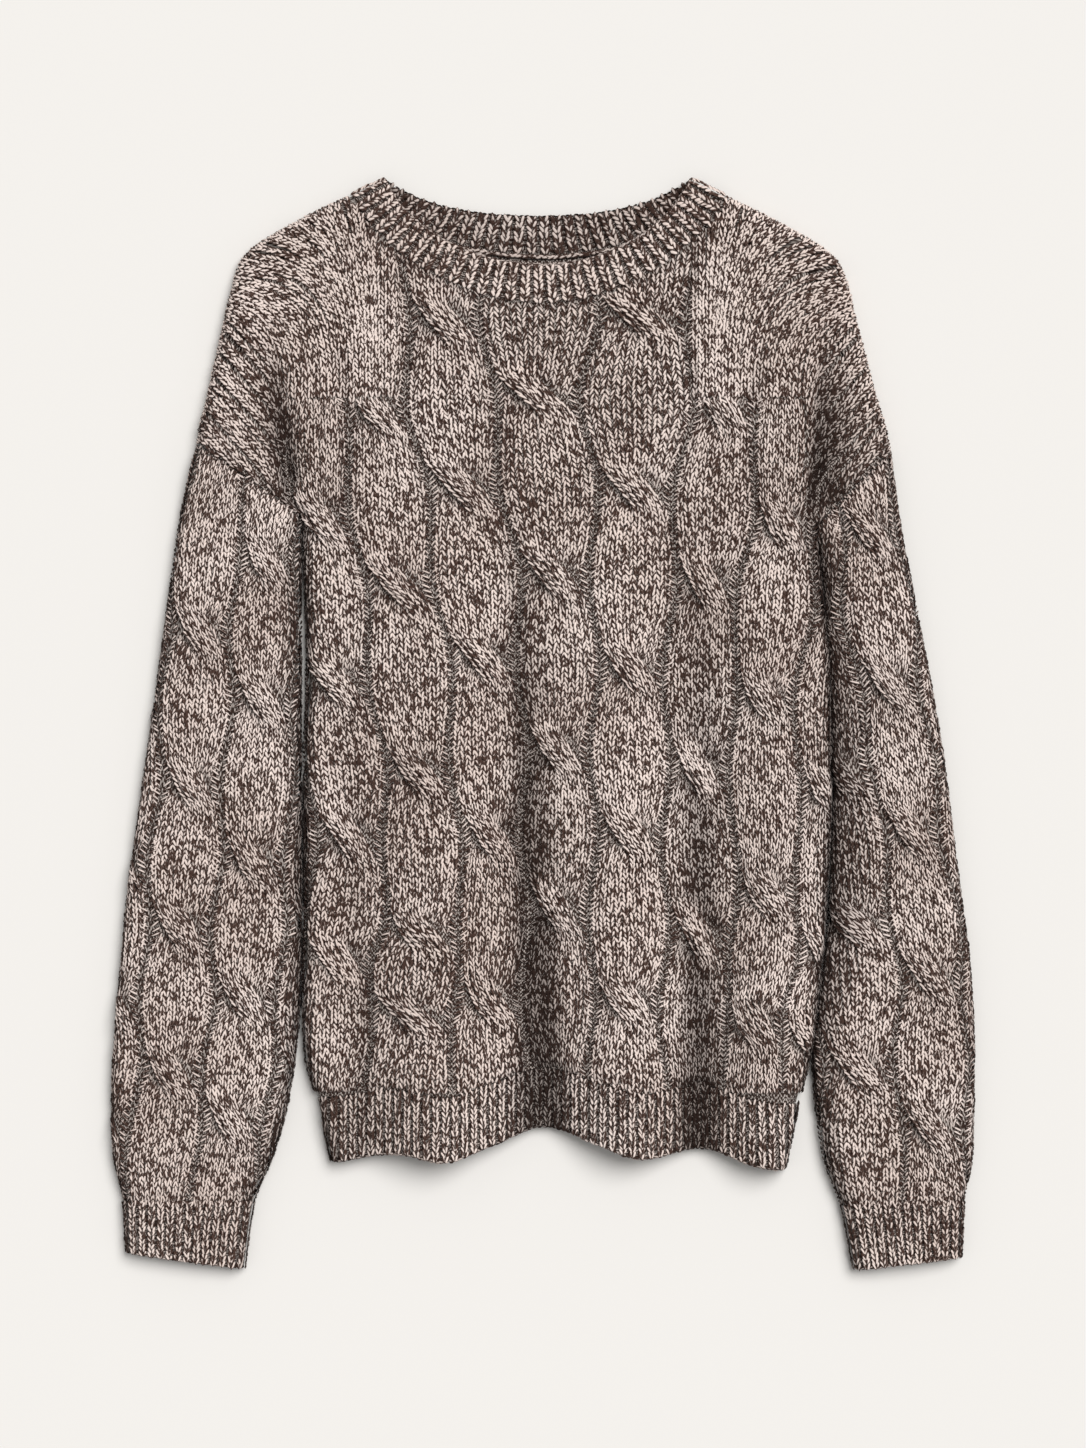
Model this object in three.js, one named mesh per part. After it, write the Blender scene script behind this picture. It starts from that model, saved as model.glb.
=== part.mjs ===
// A cable knit sweater that lies on its back on a flat surface, with its arms along its sides.
// Millimetres. +Z is up from the surface, +Y points to the neck, and +X points to the
// wearer's left sleeve. Left and right in the names are the wearer's.
import * as THREE from "three";

// Cloth
const WALL = 3.5; // thickness of the plain knit
const SEAM_GAP = 0.5; // clearance between two pieces that are linked together
const SIDE_SEAM_GAP = 1; // the same round the outside of a fold, where it narrows inwards
const ARMHOLE_GAP = 1; // the same along the armholes, where the walls twist
const RIB_RISE = 1.2; // how far a knit rib stands over the purl beside it
const RIB_PITCH = 6.1; // one knit and one purl stitch at the hem and cuffs
const NECK_RIB_PITCH = 8.6; // the same at the neck, in thicker stitches

// Edges that are folded over where the front meets the back
const FOLD_HEIGHT = 5.5; // height of the widest point of a fold above the surface
const ROLL = 8; // how far a fold takes to come round, seen from above
const ROLL_RISE = 7.5; // how far it climbs on the way, for the length of its cloth

// The cloth that a quarter turn of a fold takes up
const rollCloth = (reach) => (Math.PI / 2) * Math.sqrt((reach ** 2 + ROLL_RISE ** 2) / 2);
const ROLL_CLOTH = rollCloth(ROLL);

// Heights of the upper layer above the surface, before its folds and cables
const BODY_HEIGHT = 13;
const NECK_HEIGHT = 10;
const LOWEST_TOP = 7.6; // where the front lies on the back
const SLEEVE_HEIGHT = 12.5;
const SLEEVE_CROWN = 2; // the middle of a sleeve over its sides
const CUFF_HEIGHT = 11;

// Cables
const CABLE_PERIOD = 112; // from one crossing to the next of the same cable
const OVAL_RISE = 2.2; // plain ovals over the purl channels between them
const CHANNEL_SLOPE = 9; // from the bottom of a channel to the top of the oval beside it
const YOKE_START = 30; // the channels die out this far above the first crossing beside them
const MEANDER = 0.13; // swing of a channel, as a share of the distance between cables
const STRAND_RISE = 2.8; // the strand that passes in front, over its oval
const STRAND_LENGTH = 16;
const STRAND_WIDTH = 7;
const STRAND_ANGLE = THREE.MathUtils.degToRad(-48);
const DIMPLE_DEPTH = 1.6; // the hollows on both sides of a crossing
const DIMPLE_REACH = 12;
const DIMPLE_SIZE = 6;

// Rings of the body from the hem to the free edge of the neckband. Each is where the edges of the
// garment lie (left and right as seen from the front), where the front and back cross the
// middle, and how steeply a row of the front and of the back leaves each edge, in degrees.
const BODY_RINGS = [
  { front: -283, back: -281, leftX: -138, leftY: -283, rightX: 158, rightY: -283, turn: 0, backTurn: 0 },
  { front: -242, back: -242, leftX: -148, leftY: -242, rightX: 167, rightY: -242, turn: 0, backTurn: 0 },
  { front: -215, back: -215, leftX: -155, leftY: -215, rightX: 174, rightY: -215, turn: 0, backTurn: 0 },
  { front: -182, back: -182, leftX: -157, leftY: -182, rightX: 179, rightY: -182, turn: 0, backTurn: 0 },
  { front: -116, back: -116, leftX: -156, leftY: -116, rightX: 185, rightY: -116, turn: 0, backTurn: 0 },
  { front: -40, back: -40, leftX: -156, leftY: -40, rightX: 188, rightY: -40, turn: 0, backTurn: 0 },
  { front: 40, back: 40, leftX: -154, leftY: 40, rightX: 187, rightY: 40, turn: 0, backTurn: 0 },
  { front: 82, back: 82, leftX: -155, leftY: 82, rightX: 183, rightY: 82, turn: 0, backTurn: 0 },
  { front: 126, back: 130, leftX: -159, leftY: 137, rightX: 180, rightY: 130, turn: 0, backTurn: 0 },
  { front: 172, back: 180, leftX: -227, leftY: 184, rightX: 228, rightY: 179, turn: 10, backTurn: 10 },
  { front: 192, back: 202, leftX: -219, leftY: 222, rightX: 217, rightY: 222, turn: 14, backTurn: 14 },
  { front: 214, back: 228, leftX: -210, leftY: 262, rightX: 207, rightY: 260, turn: 20, backTurn: 20 },
  { front: 238, back: 258, leftX: -198, leftY: 305, rightX: 195, rightY: 302, turn: 36, backTurn: 34 },
  { front: 258, back: 284, leftX: -161, leftY: 331, rightX: 153, rightY: 331, turn: 56, backTurn: 46 },
  { front: 277, back: 306, leftX: -126, leftY: 348, rightX: 120, rightY: 347, turn: 62, backTurn: 42 },
  { front: 301, back: 334, leftX: -104, leftY: 358, rightX: 97, rightY: 358, turn: 68, backTurn: 36 },
];

// The length of the back's cloth that comes round the shoulder to the front
const SHOULDER_STRIP = [
  { front: 126, cloth: 0 },
  { front: 172, cloth: 0 },
  { front: 192, cloth: 15 },
  { front: 214, cloth: 20 },
  { front: 238, cloth: 23 },
  { front: 258, cloth: 26 },
  { front: 277, cloth: 28 },
];

const UNDERARM = BODY_RINGS[8];
const ARMHOLE_TOP = BODY_RINGS[9];
const HEM_EDGE = -283;
const HEM_SEAM = -242;
const NECK_SEAM = 277;
const NECK_EDGE = 301;
const NECK_FALL = 190; // the front sinks from here to the neck
const HEM_WAVE_REACH = 150; // the hem's waves die out this far above it

// The hem's lower edge against a straight line, from side to side
const HEM_WAVE = [
  { x: -138, rise: -4 },
  { x: -94, rise: 2 },
  { x: -65, rise: -3 },
  { x: -34, rise: 7 },
  { x: 1, rise: 19 },
  { x: 36, rise: 8 },
  { x: 67, rise: -1 },
  { x: 103, rise: 5 },
  { x: 140, rise: -6 },
  { x: 158, rise: -9 },
];

// Lengthwise folds of the front: a ridge where the height is above 0, a trough where it is below.
// Each grows from nothing at its start to its height at its end, as wide as its two reaches.
const FOLD_END = 20; // a fold that ends within the front dies out over this length
const FRONT_FOLDS = [
  { x0: -64, y0: 150, x1: -72, y1: -290, height: 13, leftReach: 32, rightReach: 30 }, // left ridge
  { x0: -20, y0: 150, x1: 4, y1: -280, height: -5.5, leftReach: 22, rightReach: 20 }, // middle trough
  { x0: 42, y0: 150, x1: 52, y1: -290, height: 12, leftReach: 24, rightReach: 24 }, // middle ridge
  { x0: 104, y0: 150, x1: 102, y1: -290, height: -5, leftReach: 16, rightReach: 16 }, // right trough
  { x0: 146, y0: 140, x1: 144, y1: -290, height: 9, leftReach: 18, rightReach: 20 }, // right ridge
  { x0: -128, y0: 60, x1: -112, y1: -285, height: -3, leftReach: 14, rightReach: 14 }, // left trough
  { x0: -182, y0: 268, x1: -166, y1: 166, height: -5.5, leftReach: 13, rightReach: 8 }, // arm crease
  { x0: 184, y0: 272, x1: 178, y1: 158, height: -5.5, leftReach: 6, rightReach: 24 }, // arm crease
];

// Where the strands of each cable cross on the front, from the neck down
const FRONT_CABLES = [
  { x: [-147, -136, -128, -147], y: [134, 27, -75, -154] },
  { x: [-114, -95, -80, -68, -104], y: [206, 91, -31, -136, -189] },
  { x: [-68, -52, -39, -36, -35], y: [265, 155, 42, -75, -182] },
  { x: [-9, 8, 10, 11], y: [215, 97, -17, -121] },
  { x: [71, 62, 58, 56, 52], y: [266, 154, 35, -72, -182] },
  { x: [124, 108, 104, 105], y: [205, 91, -31, -140] },
  { x: [159, 144, 148, 133], y: [130, 17, -112, -196] },
];

// Sleeves, seen from the front, from the armhole to the cuff's end: the outer and the inner edge,
// and how far the fold on the inner edge takes to come round.
const RIGHT_SLEEVE_RINGS = [
  { outerX: -227, outerY: 184, innerX: -159, innerY: 137, innerRoll: 8 },
  { outerX: -237, outerY: 141, innerX: -161, innerY: 108, innerRoll: 8 },
  { outerX: -245, outerY: 88, innerX: -161, innerY: 68, innerRoll: 8 },
  { outerX: -254, outerY: 22, innerX: -161, innerY: 12, innerRoll: 8 },
  { outerX: -264, outerY: -50, innerX: -161, innerY: -57, innerRoll: 8 },
  { outerX: -273, outerY: -116, innerX: -161, innerY: -120, innerRoll: 8 },
  { outerX: -279, outerY: -182, innerX: -162, innerY: -182, innerRoll: 8 },
  { outerX: -283, outerY: -240, innerX: -168, innerY: -240, innerRoll: 8 },
  { outerX: -282, outerY: -282, innerX: -179, innerY: -282, innerRoll: 8 },
  { outerX: -275, outerY: -315, innerX: -192, innerY: -315, innerRoll: 8 },
  { outerX: -273, outerY: -347, innerX: -198, innerY: -357, innerRoll: 8 },
];
const LEFT_SLEEVE_RINGS = [
  { outerX: 228, outerY: 179, innerX: 180, innerY: 130, innerRoll: 8 },
  { outerX: 235, outerY: 128, innerX: 186, innerY: 98, innerRoll: 14 },
  { outerX: 244, outerY: 82, innerX: 189, innerY: 55, innerRoll: 20 },
  { outerX: 253, outerY: 35, innerX: 191, innerY: 16, innerRoll: 24 },
  { outerX: 264, outerY: -31, innerX: 193, innerY: -44, innerRoll: 24 },
  { outerX: 273, outerY: -103, innerX: 191, innerY: -110, innerRoll: 24 },
  { outerX: 280, outerY: -156, innerX: 187, innerY: -156, innerRoll: 20 },
  { outerX: 283, outerY: -216, innerX: 179, innerY: -216, innerRoll: 14 },
  { outerX: 282, outerY: -282, innerX: 186, innerY: -282, innerRoll: 10 },
  { outerX: 276, outerY: -315, innerX: 198, innerY: -317, innerRoll: 8 },
  { outerX: 274, outerY: -350, innerX: 206, innerY: -358, innerRoll: 8 },
];
const CUFF_SEAM = 9; // the ring where a sleeve ends and its cuff starts
const CUFF_EDGE = 10;
const RIGHT_SLEEVE_CABLES = [
  { x: [-225, -231, -239, -244], y: [61, -39, -133, -229] },
  { x: [-181, -184, -190, -196, -205], y: [107, 17, -90, -180, -260] },
];
const LEFT_SLEEVE_CABLES = [
  { x: [199, 203, 210], y: [-30, -130, -227] },
  { x: [217, 227, 244, 258, 254], y: [127, 26, -71, -167, -266] },
];

// The grids that the walls are made on: rows up to each stop, and columns round a ring
const FRONT_ROWS = [
  { from: HEM_SEAM, rows: 30 },
  { from: UNDERARM.front, rows: 6 },
  { from: ARMHOLE_TOP.front, rows: 10 },
];
const BACK_ROWS = [
  { from: HEM_SEAM, rows: 16 },
  { from: UNDERARM.front, rows: 6 },
  { from: ARMHOLE_TOP.front, rows: 10 },
];
const FRONT_COLUMNS = 42;
const BACK_COLUMNS = 32;
const FRONT_EDGE_COLUMNS = 3; // the columns on a folded edge, on each side
const BACK_EDGE_COLUMNS = 6;
const HEM_EDGE_COLUMNS = 4;
const SLEEVE_ROWS = 36;
const SLEEVE_TOP_COLUMNS = 16;
const SLEEVE_BACK_COLUMNS = 8;
const RIB_ROWS = 3;

// A smooth curve through a table's rows that never swings past them
function track(rows, input, output) {
  const at = rows.map((row) => row[input]);
  const to = rows.map((row) => row[output]);
  const step = at.slice(1).map((value, i) => (to[i + 1] - to[i]) / (value - at[i]));
  const slope = to.map((_, i) => {
    if (i === 0 || i === to.length - 1) return step[Math.min(i, step.length - 1)];
    if (step[i - 1] * step[i] <= 0) return 0;
    return (2 * step[i - 1] * step[i]) / (step[i - 1] + step[i]);
  });
  return (value) => {
    const inside = THREE.MathUtils.clamp(value, at[0], at[at.length - 1]);
    let i = 0;
    while (i < at.length - 2 && inside > at[i + 1]) i += 1;
    const width = at[i + 1] - at[i];
    const t = (inside - at[i]) / width;
    const rise = to[i + 1] - to[i];
    const bend = slope[i] * width;
    const leave = slope[i + 1] * width;
    return to[i] + t * (bend + t * (3 * rise - 2 * bend - leave + t * (bend + leave - 2 * rise)));
  };
}

// One track for each named column of a table
function tracks(rows, input) {
  const names = Object.keys(rows[0]).filter((name) => name !== input);
  return Object.fromEntries(names.map((name) => [name, track(rows, input, name)]));
}

// A half of a row, seen from above: from an end to the middle, leaving each at its own angle
function halfRow(end, middle, endAngle, t) {
  const reach = Math.hypot(middle.x - end.x, middle.y - end.y);
  const side = Math.sign(middle.x - end.x);
  const leave = { x: side * reach * Math.cos(endAngle), y: -reach * Math.sin(endAngle) };
  const arrive = { x: side * reach, y: 0 };
  const back = t - 1;
  const fromEnd = back * back * (1 + 2 * t);
  const fromMiddle = t * t * (3 - 2 * t);
  const bend = t * back * back;
  const settle = t * t * back;
  return {
    x: fromEnd * end.x + fromMiddle * middle.x + bend * leave.x + settle * arrive.x,
    y: fromEnd * end.y + fromMiddle * middle.y + bend * leave.y + settle * arrive.y,
  };
}

// How far in from its edge the cloth is after a length of it, and how far it has come round.
// It starts at an angle round the fold: 0 at the fold's widest point, a quarter turn on top.
function roll(cloth, reach, start) {
  const angle = start + ((cloth / rollCloth(reach)) * Math.PI) / 2;
  if (angle < Math.PI / 2) {
    return { inset: reach * (Math.cos(start) - Math.cos(angle)), round: Math.sin(angle) };
  }
  const turned = rollCloth(reach) * (1 - start / (Math.PI / 2));
  return { inset: reach * Math.cos(start) + (cloth - turned), round: 1 };
}

// The cables: oval columns with channels between them, and a raised strand at each crossing
function cableField(cables) {
  const lines = cables.map((cable) => {
    const rows = cable.y.map((y, i) => ({ y, x: cable.x[i] })).reverse();
    return { centre: track(rows, "y", "x"), rows, top: cable.y[0] };
  });
  const beat = (line, y) => {
    const away = line.rows.map((row) => Math.abs(row.y - y));
    return Math.cos((2 * Math.PI * Math.min(...away)) / CABLE_PERIOD);
  };
  return (x, y) => {
    let gap = Infinity;
    for (let i = 1; i < lines.length; i += 1) {
      const left = lines[i - 1].centre(y);
      const right = lines[i].centre(y);
      const swing = (MEANDER * (right - left) * (beat(lines[i - 1], y) - beat(lines[i], y))) / 2;
      const top = Math.max(lines[i - 1].top, lines[i].top) + YOKE_START;
      const yoke = CHANNEL_SLOPE * THREE.MathUtils.smoothstep(y, top, top + YOKE_START);
      gap = Math.min(gap, Math.abs(x - ((left + right) / 2 - swing)) + yoke);
    }
    let rise = OVAL_RISE * THREE.MathUtils.smoothstep(gap, 0, CHANNEL_SLOPE);
    for (const line of lines) {
      for (const row of line.rows) {
        const dx = x - row.x;
        const dy = y - row.y;
        const along = dx * Math.cos(STRAND_ANGLE) + dy * Math.sin(STRAND_ANGLE);
        const across = -dx * Math.sin(STRAND_ANGLE) + dy * Math.cos(STRAND_ANGLE);
        const strand = (along / STRAND_LENGTH) ** 2 + (across / STRAND_WIDTH) ** 2;
        const dimple = (along / DIMPLE_SIZE) ** 2 + ((Math.abs(across) - DIMPLE_REACH) / DIMPLE_SIZE) ** 2;
        rise += STRAND_RISE * Math.exp(-strand) - DIMPLE_DEPTH * Math.exp(-dimple);
      }
    }
    return Math.max(rise, 0);
  };
}

// The soft folds over a point of the front
function foldHeight(x, y) {
  let height = 0;
  for (const fold of FRONT_FOLDS) {
    const t = THREE.MathUtils.clamp((y - fold.y0) / (fold.y1 - fold.y0), 0, 1);
    const past = Math.max(fold.y1 - y, 0);
    const offset = x - THREE.MathUtils.lerp(fold.x0, fold.x1, t);
    const reach = offset < 0 ? fold.leftReach : fold.rightReach;
    const shape = Math.exp(-((offset / reach) ** 2) - (past / FOLD_END) ** 2);
    height += fold.height * t * (2 - t) * shape;
  }
  return height;
}

const bodyTrack = tracks(BODY_RINGS, "front");
const hemWave = track(HEM_WAVE, "x", "rise");
const shoulderStrip = track(SHOULDER_STRIP, "front", "cloth");

// The two ends of a row of the body, and how far round the fold they start. Between the underarm
// and the top of the armhole the ends lie on the straight seams of the sleeves.
function bodyEdges(v) {
  const share = (v - UNDERARM.front) / (ARMHOLE_TOP.front - UNDERARM.front);
  const onSeam = share > 0 && share < 1;
  const end = (side) => {
    const x = `${side}X`;
    const y = `${side}Y`;
    if (!onSeam) return { x: bodyTrack[x](v), y: bodyTrack[y](v), start: 0 };
    const from = UNDERARM;
    const to = ARMHOLE_TOP;
    const seam = Math.hypot(to[x] - from[x], to[y] - from[y]);
    const inward = Math.min(share, 1 - share) * seam;
    return {
      x: THREE.MathUtils.lerp(from[x], to[x], share),
      y: THREE.MathUtils.lerp(from[y], to[y], share),
      start: Math.acos(1 - Math.min(inward / ROLL, 1)),
    };
  };
  return { left: end("left"), right: end("right") };
}

// The lengths of the two halves of a row's cloth, on the front or on the back
function bodyHalves(v, onFront) {
  const middleY = onFront ? v : bodyTrack.back(v);
  const { left, right } = bodyEdges(v);
  const length = ({ x, y, start }) => {
    const turned = ROLL_CLOTH * (1 - start / (Math.PI / 2)) - ROLL * Math.cos(start);
    return Math.hypot(x, middleY - y) + turned;
  };
  return { left: length(left), right: length(right) };
}

function bodyCloth(v, onFront) {
  const halves = bodyHalves(v, onFront);
  return halves.left + halves.right;
}

// A point of the body's outer surface: its row, the layer, and the cloth's length from the left
// edge. A length below 0 or past the right edge goes round the fold to the other layer.
function bodyPoint(v, onFront, cloth) {
  const halves = bodyHalves(v, onFront);
  const total = halves.left + halves.right;
  if (cloth < 0) return bodyPoint(v, !onFront, -cloth);
  if (cloth > total) return bodyPoint(v, !onFront, bodyCloth(v, !onFront) - (cloth - total));
  const fromLeft = cloth < halves.left;
  const edges = bodyEdges(v);
  const end = fromLeft ? edges.left : edges.right;
  const turned = roll(fromLeft ? cloth : total - cloth, ROLL, end.start);
  const middle = { x: 0, y: onFront ? v : bodyTrack.back(v) };
  const reach = Math.hypot(middle.x - end.x, middle.y - end.y);
  const angle = THREE.MathUtils.degToRad(onFront ? bodyTrack.turn(v) : bodyTrack.backTurn(v));
  const flat = halfRow(end, middle, angle, Math.min(turned.inset / reach, 1));
  const fade = 1 - THREE.MathUtils.smoothstep(v, HEM_EDGE, HEM_EDGE + HEM_WAVE_REACH);
  const y = flat.y + hemWave(flat.x) * fade;
  if (!onFront) return new THREE.Vector3(flat.x, y, FOLD_HEIGHT * (1 - turned.round));
  const neckward = THREE.MathUtils.smoothstep(v, NECK_FALL, NECK_SEAM);
  const level = THREE.MathUtils.lerp(BODY_HEIGHT, NECK_HEIGHT, neckward);
  const top = Math.max(level + foldHeight(flat.x, y), LOWEST_TOP);
  return new THREE.Vector3(flat.x, y, FOLD_HEIGHT + (top - FOLD_HEIGHT) * turned.round);
}

const SEAM_FADE = 0.3; // a sleeve's cables rise from its seams over this share of a ring
const SLEEVE_BESIDE = 0.02; // a sleeve's direction at a ring is taken over this share of a ring

// A sleeve: its outer surface at a ring, a layer and a length of cloth from the outer edge
function sleeveForm(rings) {
  const edge = tracks(rings.map((ring, i) => ({ at: i, ...ring })), "at");
  const span = (v) => Math.hypot(edge.innerX(v) - edge.outerX(v), edge.innerY(v) - edge.outerY(v));
  const total = (v) => {
    const inner = edge.innerRoll(v);
    return span(v) + ROLL_CLOTH - ROLL + rollCloth(inner) - inner;
  };
  const point = (v, onFront, cloth) => {
    const length = total(v);
    if (cloth < 0) return point(v, !onFront, -cloth);
    if (cloth > length) return point(v, !onFront, 2 * length - cloth);
    const fromOuter = cloth < length / 2;
    const turned = fromOuter ? roll(cloth, ROLL, 0) : roll(length - cloth, edge.innerRoll(v), 0);
    const share = fromOuter ? turned.inset / span(v) : 1 - turned.inset / span(v);
    const x = THREE.MathUtils.lerp(edge.outerX(v), edge.innerX(v), share);
    const y = THREE.MathUtils.lerp(edge.outerY(v), edge.innerY(v), share);
    if (!onFront) return new THREE.Vector3(x, y, FOLD_HEIGHT * (1 - turned.round));
    const cuffward = THREE.MathUtils.smoothstep(v, CUFF_SEAM - 2, CUFF_SEAM);
    const crown = SLEEVE_CROWN * Math.sin(Math.PI * share) * THREE.MathUtils.smoothstep(v, 0, 2);
    const top = THREE.MathUtils.lerp(SLEEVE_HEIGHT, CUFF_HEIGHT, cuffward) + crown;
    return new THREE.Vector3(x, y, FOLD_HEIGHT + (top - FOLD_HEIGHT) * turned.round);
  };
  const gap = (k, size) => {
    const next = rings[k + 1];
    return size / Math.hypot(next.innerX - rings[k].innerX, next.innerY - rings[k].innerY);
  };
  return { point, total, gap, beside: (v) => [v - SLEEVE_BESIDE, v + SLEEVE_BESIDE] };
}

// The place of a column between the two ends of a row: the first and last few share a length
// at each end, and the rest share what is left evenly.
function columnPlace(j, columns, edgeColumns, edgeLength, from, to) {
  if (j < edgeColumns) return from + (j / edgeColumns) * edgeLength;
  if (j > columns - edgeColumns) return to - ((columns - j) / edgeColumns) * edgeLength;
  const share = (j - edgeColumns) / (columns - 2 * edgeColumns);
  return THREE.MathUtils.lerp(from + edgeLength, to - edgeLength, share);
}

const BESIDE = 0.2; // the cloth's direction at a point is taken over this length each way
const BESIDE_ROW = 1; // and over this much of the body's rows

// A wall of knit: its outer points stand on a surface, raised by ribs and cables, and its inside
// lies one wall's thickness behind, with fewer points away from its rim. A grid point is a row,
// a layer and a length of cloth. A closed wall joins its last column to its first.
function knitWall({ name, material, rows, columns, closed, place, form, raise, raiseInside, step }) {
  const positions = [];
  const faces = [];
  const add = (point) => positions.push(point.x, point.y, point.z) / 3 - 1;
  const at = (i, j) => {
    const { v, cloth, onFront } = place(i, j);
    const point = form.point(v, onFront, cloth);
    const [low, high] = form.beside(v);
    const below = form.point(low, onFront, cloth);
    const above = form.point(high, onFront, cloth);
    const less = form.point(v, onFront, cloth - BESIDE);
    const more = form.point(v, onFront, cloth + BESIDE);
    const normal = more.sub(less).cross(above.sub(below)).normalize();
    normal.multiplyScalar(onFront ? form.sense : -form.sense);
    return { point, normal, v, cloth, onFront, j };
  };
  const grid = [];
  for (let i = 0; i <= rows; i += 1) {
    grid.push([]);
    for (let j = 0; j < columns + (closed ? 0 : 1); j += 1) {
      const spot = at(i, j);
      spot.outer = add(spot.point.clone().addScaledVector(spot.normal, raise(spot)));
      grid[i].push(spot);
    }
  }
  const spotOf = (i, j) => grid[i][closed ? j % columns : j];
  const outer = (i, j) => spotOf(i, j).outer;
  const inner = (i, j) => {
    const spot = spotOf(i, j);
    if (spot.inner === undefined) {
      const depth = WALL + (raiseInside ? raiseInside(spot) : 0);
      spot.inner = add(spot.point.clone().addScaledVector(spot.normal, -depth));
    }
    return spot.inner;
  };
  const where = (index) => new THREE.Vector3().fromArray(positions, index * 3);
  const quad = (a, b, c, d) => {
    if (where(a).distanceTo(where(c)) < where(b).distanceTo(where(d))) faces.push(a, b, c, a, c, d);
    else faces.push(a, b, d, b, c, d);
  };
  for (let i = 0; i < rows; i += 1) {
    for (let j = 0; j < columns; j += 1) {
      quad(outer(i, j), outer(i, j + 1), outer(i + 1, j + 1), outer(i + 1, j));
    }
  }
  for (let i = 0; i < rows; i += step.rows) {
    for (let j = 0; j < columns; j += step.columns) {
      const top = i + step.rows;
      const right = j + step.columns;
      const loop = [];
      for (let k = j; k < right; k += i === 0 ? 1 : step.columns) loop.push(inner(i, k));
      for (let k = i; k < top; k += !closed && right === columns ? 1 : step.rows) loop.push(inner(k, right));
      for (let k = right; k > j; k -= top === rows ? 1 : step.columns) loop.push(inner(top, k));
      for (let k = top; k > i; k -= !closed && j === 0 ? 1 : step.rows) loop.push(inner(k, j));
      if (loop.length === 4) {
        quad(loop[3], loop[2], loop[1], loop[0]);
        continue;
      }
      const middle = new THREE.Vector3();
      for (const corner of [inner(i, j), inner(i, right), inner(top, j), inner(top, right)]) {
        middle.addScaledVector(where(corner), 1 / 4);
      }
      const hub = add(middle);
      loop.forEach((corner, k) => faces.push(hub, loop[(k + 1) % loop.length], corner));
    }
  }
  for (let j = 0; j < columns; j += 1) {
    faces.push(outer(0, j + 1), outer(0, j), inner(0, j));
    faces.push(outer(0, j + 1), inner(0, j), inner(0, j + 1));
    faces.push(outer(rows, j), outer(rows, j + 1), inner(rows, j + 1));
    faces.push(outer(rows, j), inner(rows, j + 1), inner(rows, j));
  }
  for (let i = 0; i < rows && !closed; i += 1) {
    faces.push(outer(i, 0), outer(i + 1, 0), inner(i + 1, 0));
    faces.push(outer(i, 0), inner(i + 1, 0), inner(i, 0));
    faces.push(outer(i + 1, columns), outer(i, columns), inner(i, columns));
    faces.push(outer(i + 1, columns), inner(i, columns), inner(i + 1, columns));
  }
  // The faces are listed as seen from the outside of a form whose rows go up as its columns go right
  if (form.sense * (place(0, 0).onFront ? 1 : -1) < 0) faces.reverse();
  const geometry = new THREE.BufferGeometry();
  geometry.setAttribute("position", new THREE.Float32BufferAttribute(positions, 3));
  geometry.setIndex(faces);
  geometry.computeVertexNormals();
  const mesh = new THREE.Mesh(geometry, material);
  mesh.name = name;
  return mesh;
}

const knit = new THREE.MeshStandardMaterial({ color: 0x8a7c74, roughness: 0.95, metalness: 0 });
const rib = new THREE.MeshStandardMaterial({ color: 0x81736b, roughness: 0.95, metalness: 0 });

// The rows just below and above one, but never past a corner of the armhole
function besideBodyRow(v) {
  const corner = [UNDERARM.front, ARMHOLE_TOP.front].find((stop) => Math.abs(v - stop) < BESIDE_ROW);
  if (corner === undefined) return [v - BESIDE_ROW, v + BESIDE_ROW];
  const above = corner === UNDERARM.front ? v > corner : v >= corner;
  return above ? [corner, v + BESIDE_ROW] : [v - BESIDE_ROW, corner];
}

const body = { point: bodyPoint, beside: besideBodyRow, sense: 1 };

// The row at a step of a grid whose stops share its rows out
function rowAt(stops, end, i) {
  let first = 0;
  for (let k = 0; k < stops.length; k += 1) {
    const next = k + 1 < stops.length ? stops[k + 1].from : end;
    const share = (i - first) / stops[k].rows;
    if (share <= 1) return THREE.MathUtils.lerp(stops[k].from, next, share);
    first += stops[k].rows;
  }
  return end;
}

// A piece of the body's front or back between two rows
function bodyPiece({ name, material, onFront, stops, end, columns, edgeColumns, raise, step }) {
  const rows = stops.reduce((sum, stop) => sum + stop.rows, 0);
  const place = (i, j) => {
    const inside = i === 0 ? SEAM_GAP / 2 : i === rows ? -SEAM_GAP / 2 : 0;
    const v = rowAt(stops, end, i) + inside;
    const split = shoulderStrip(v);
    const from = (onFront ? split : -split) + SIDE_SEAM_GAP / 2;
    const edgeLength = onFront ? ROLL_CLOTH : split + ROLL_CLOTH;
    const to = bodyCloth(v, onFront) - from;
    return { v, onFront, cloth: columnPlace(j, columns, edgeColumns, edgeLength, from, to) };
  };
  return knitWall({ name, material, rows, columns, closed: false, place, form: body, raise, step });
}

const frontCables = cableField(FRONT_CABLES);
const plain = () => 0;
const ribbed = (spot) => (spot.onFront && spot.j % 2 === 1 ? RIB_RISE : 0);

const frontPanel = bodyPiece({
  name: "front_panel",
  material: knit,
  onFront: true,
  stops: FRONT_ROWS,
  end: NECK_SEAM,
  columns: FRONT_COLUMNS,
  edgeColumns: FRONT_EDGE_COLUMNS,
  raise: ({ point, v, cloth }) => {
    const fromRib = THREE.MathUtils.smoothstep(v, HEM_SEAM, HEM_SEAM + CHANNEL_SLOPE);
    const fromNeck = 1 - THREE.MathUtils.smoothstep(v, NECK_SEAM - CHANNEL_SLOPE, NECK_SEAM);
    const fromEdge = Math.min(cloth, bodyCloth(v, true) - cloth) / ROLL_CLOTH;
    return frontCables(point.x, point.y) * fromRib * fromNeck * Math.min(fromEdge, 1);
  },
  step: { rows: 2, columns: 2 },
});

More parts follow.
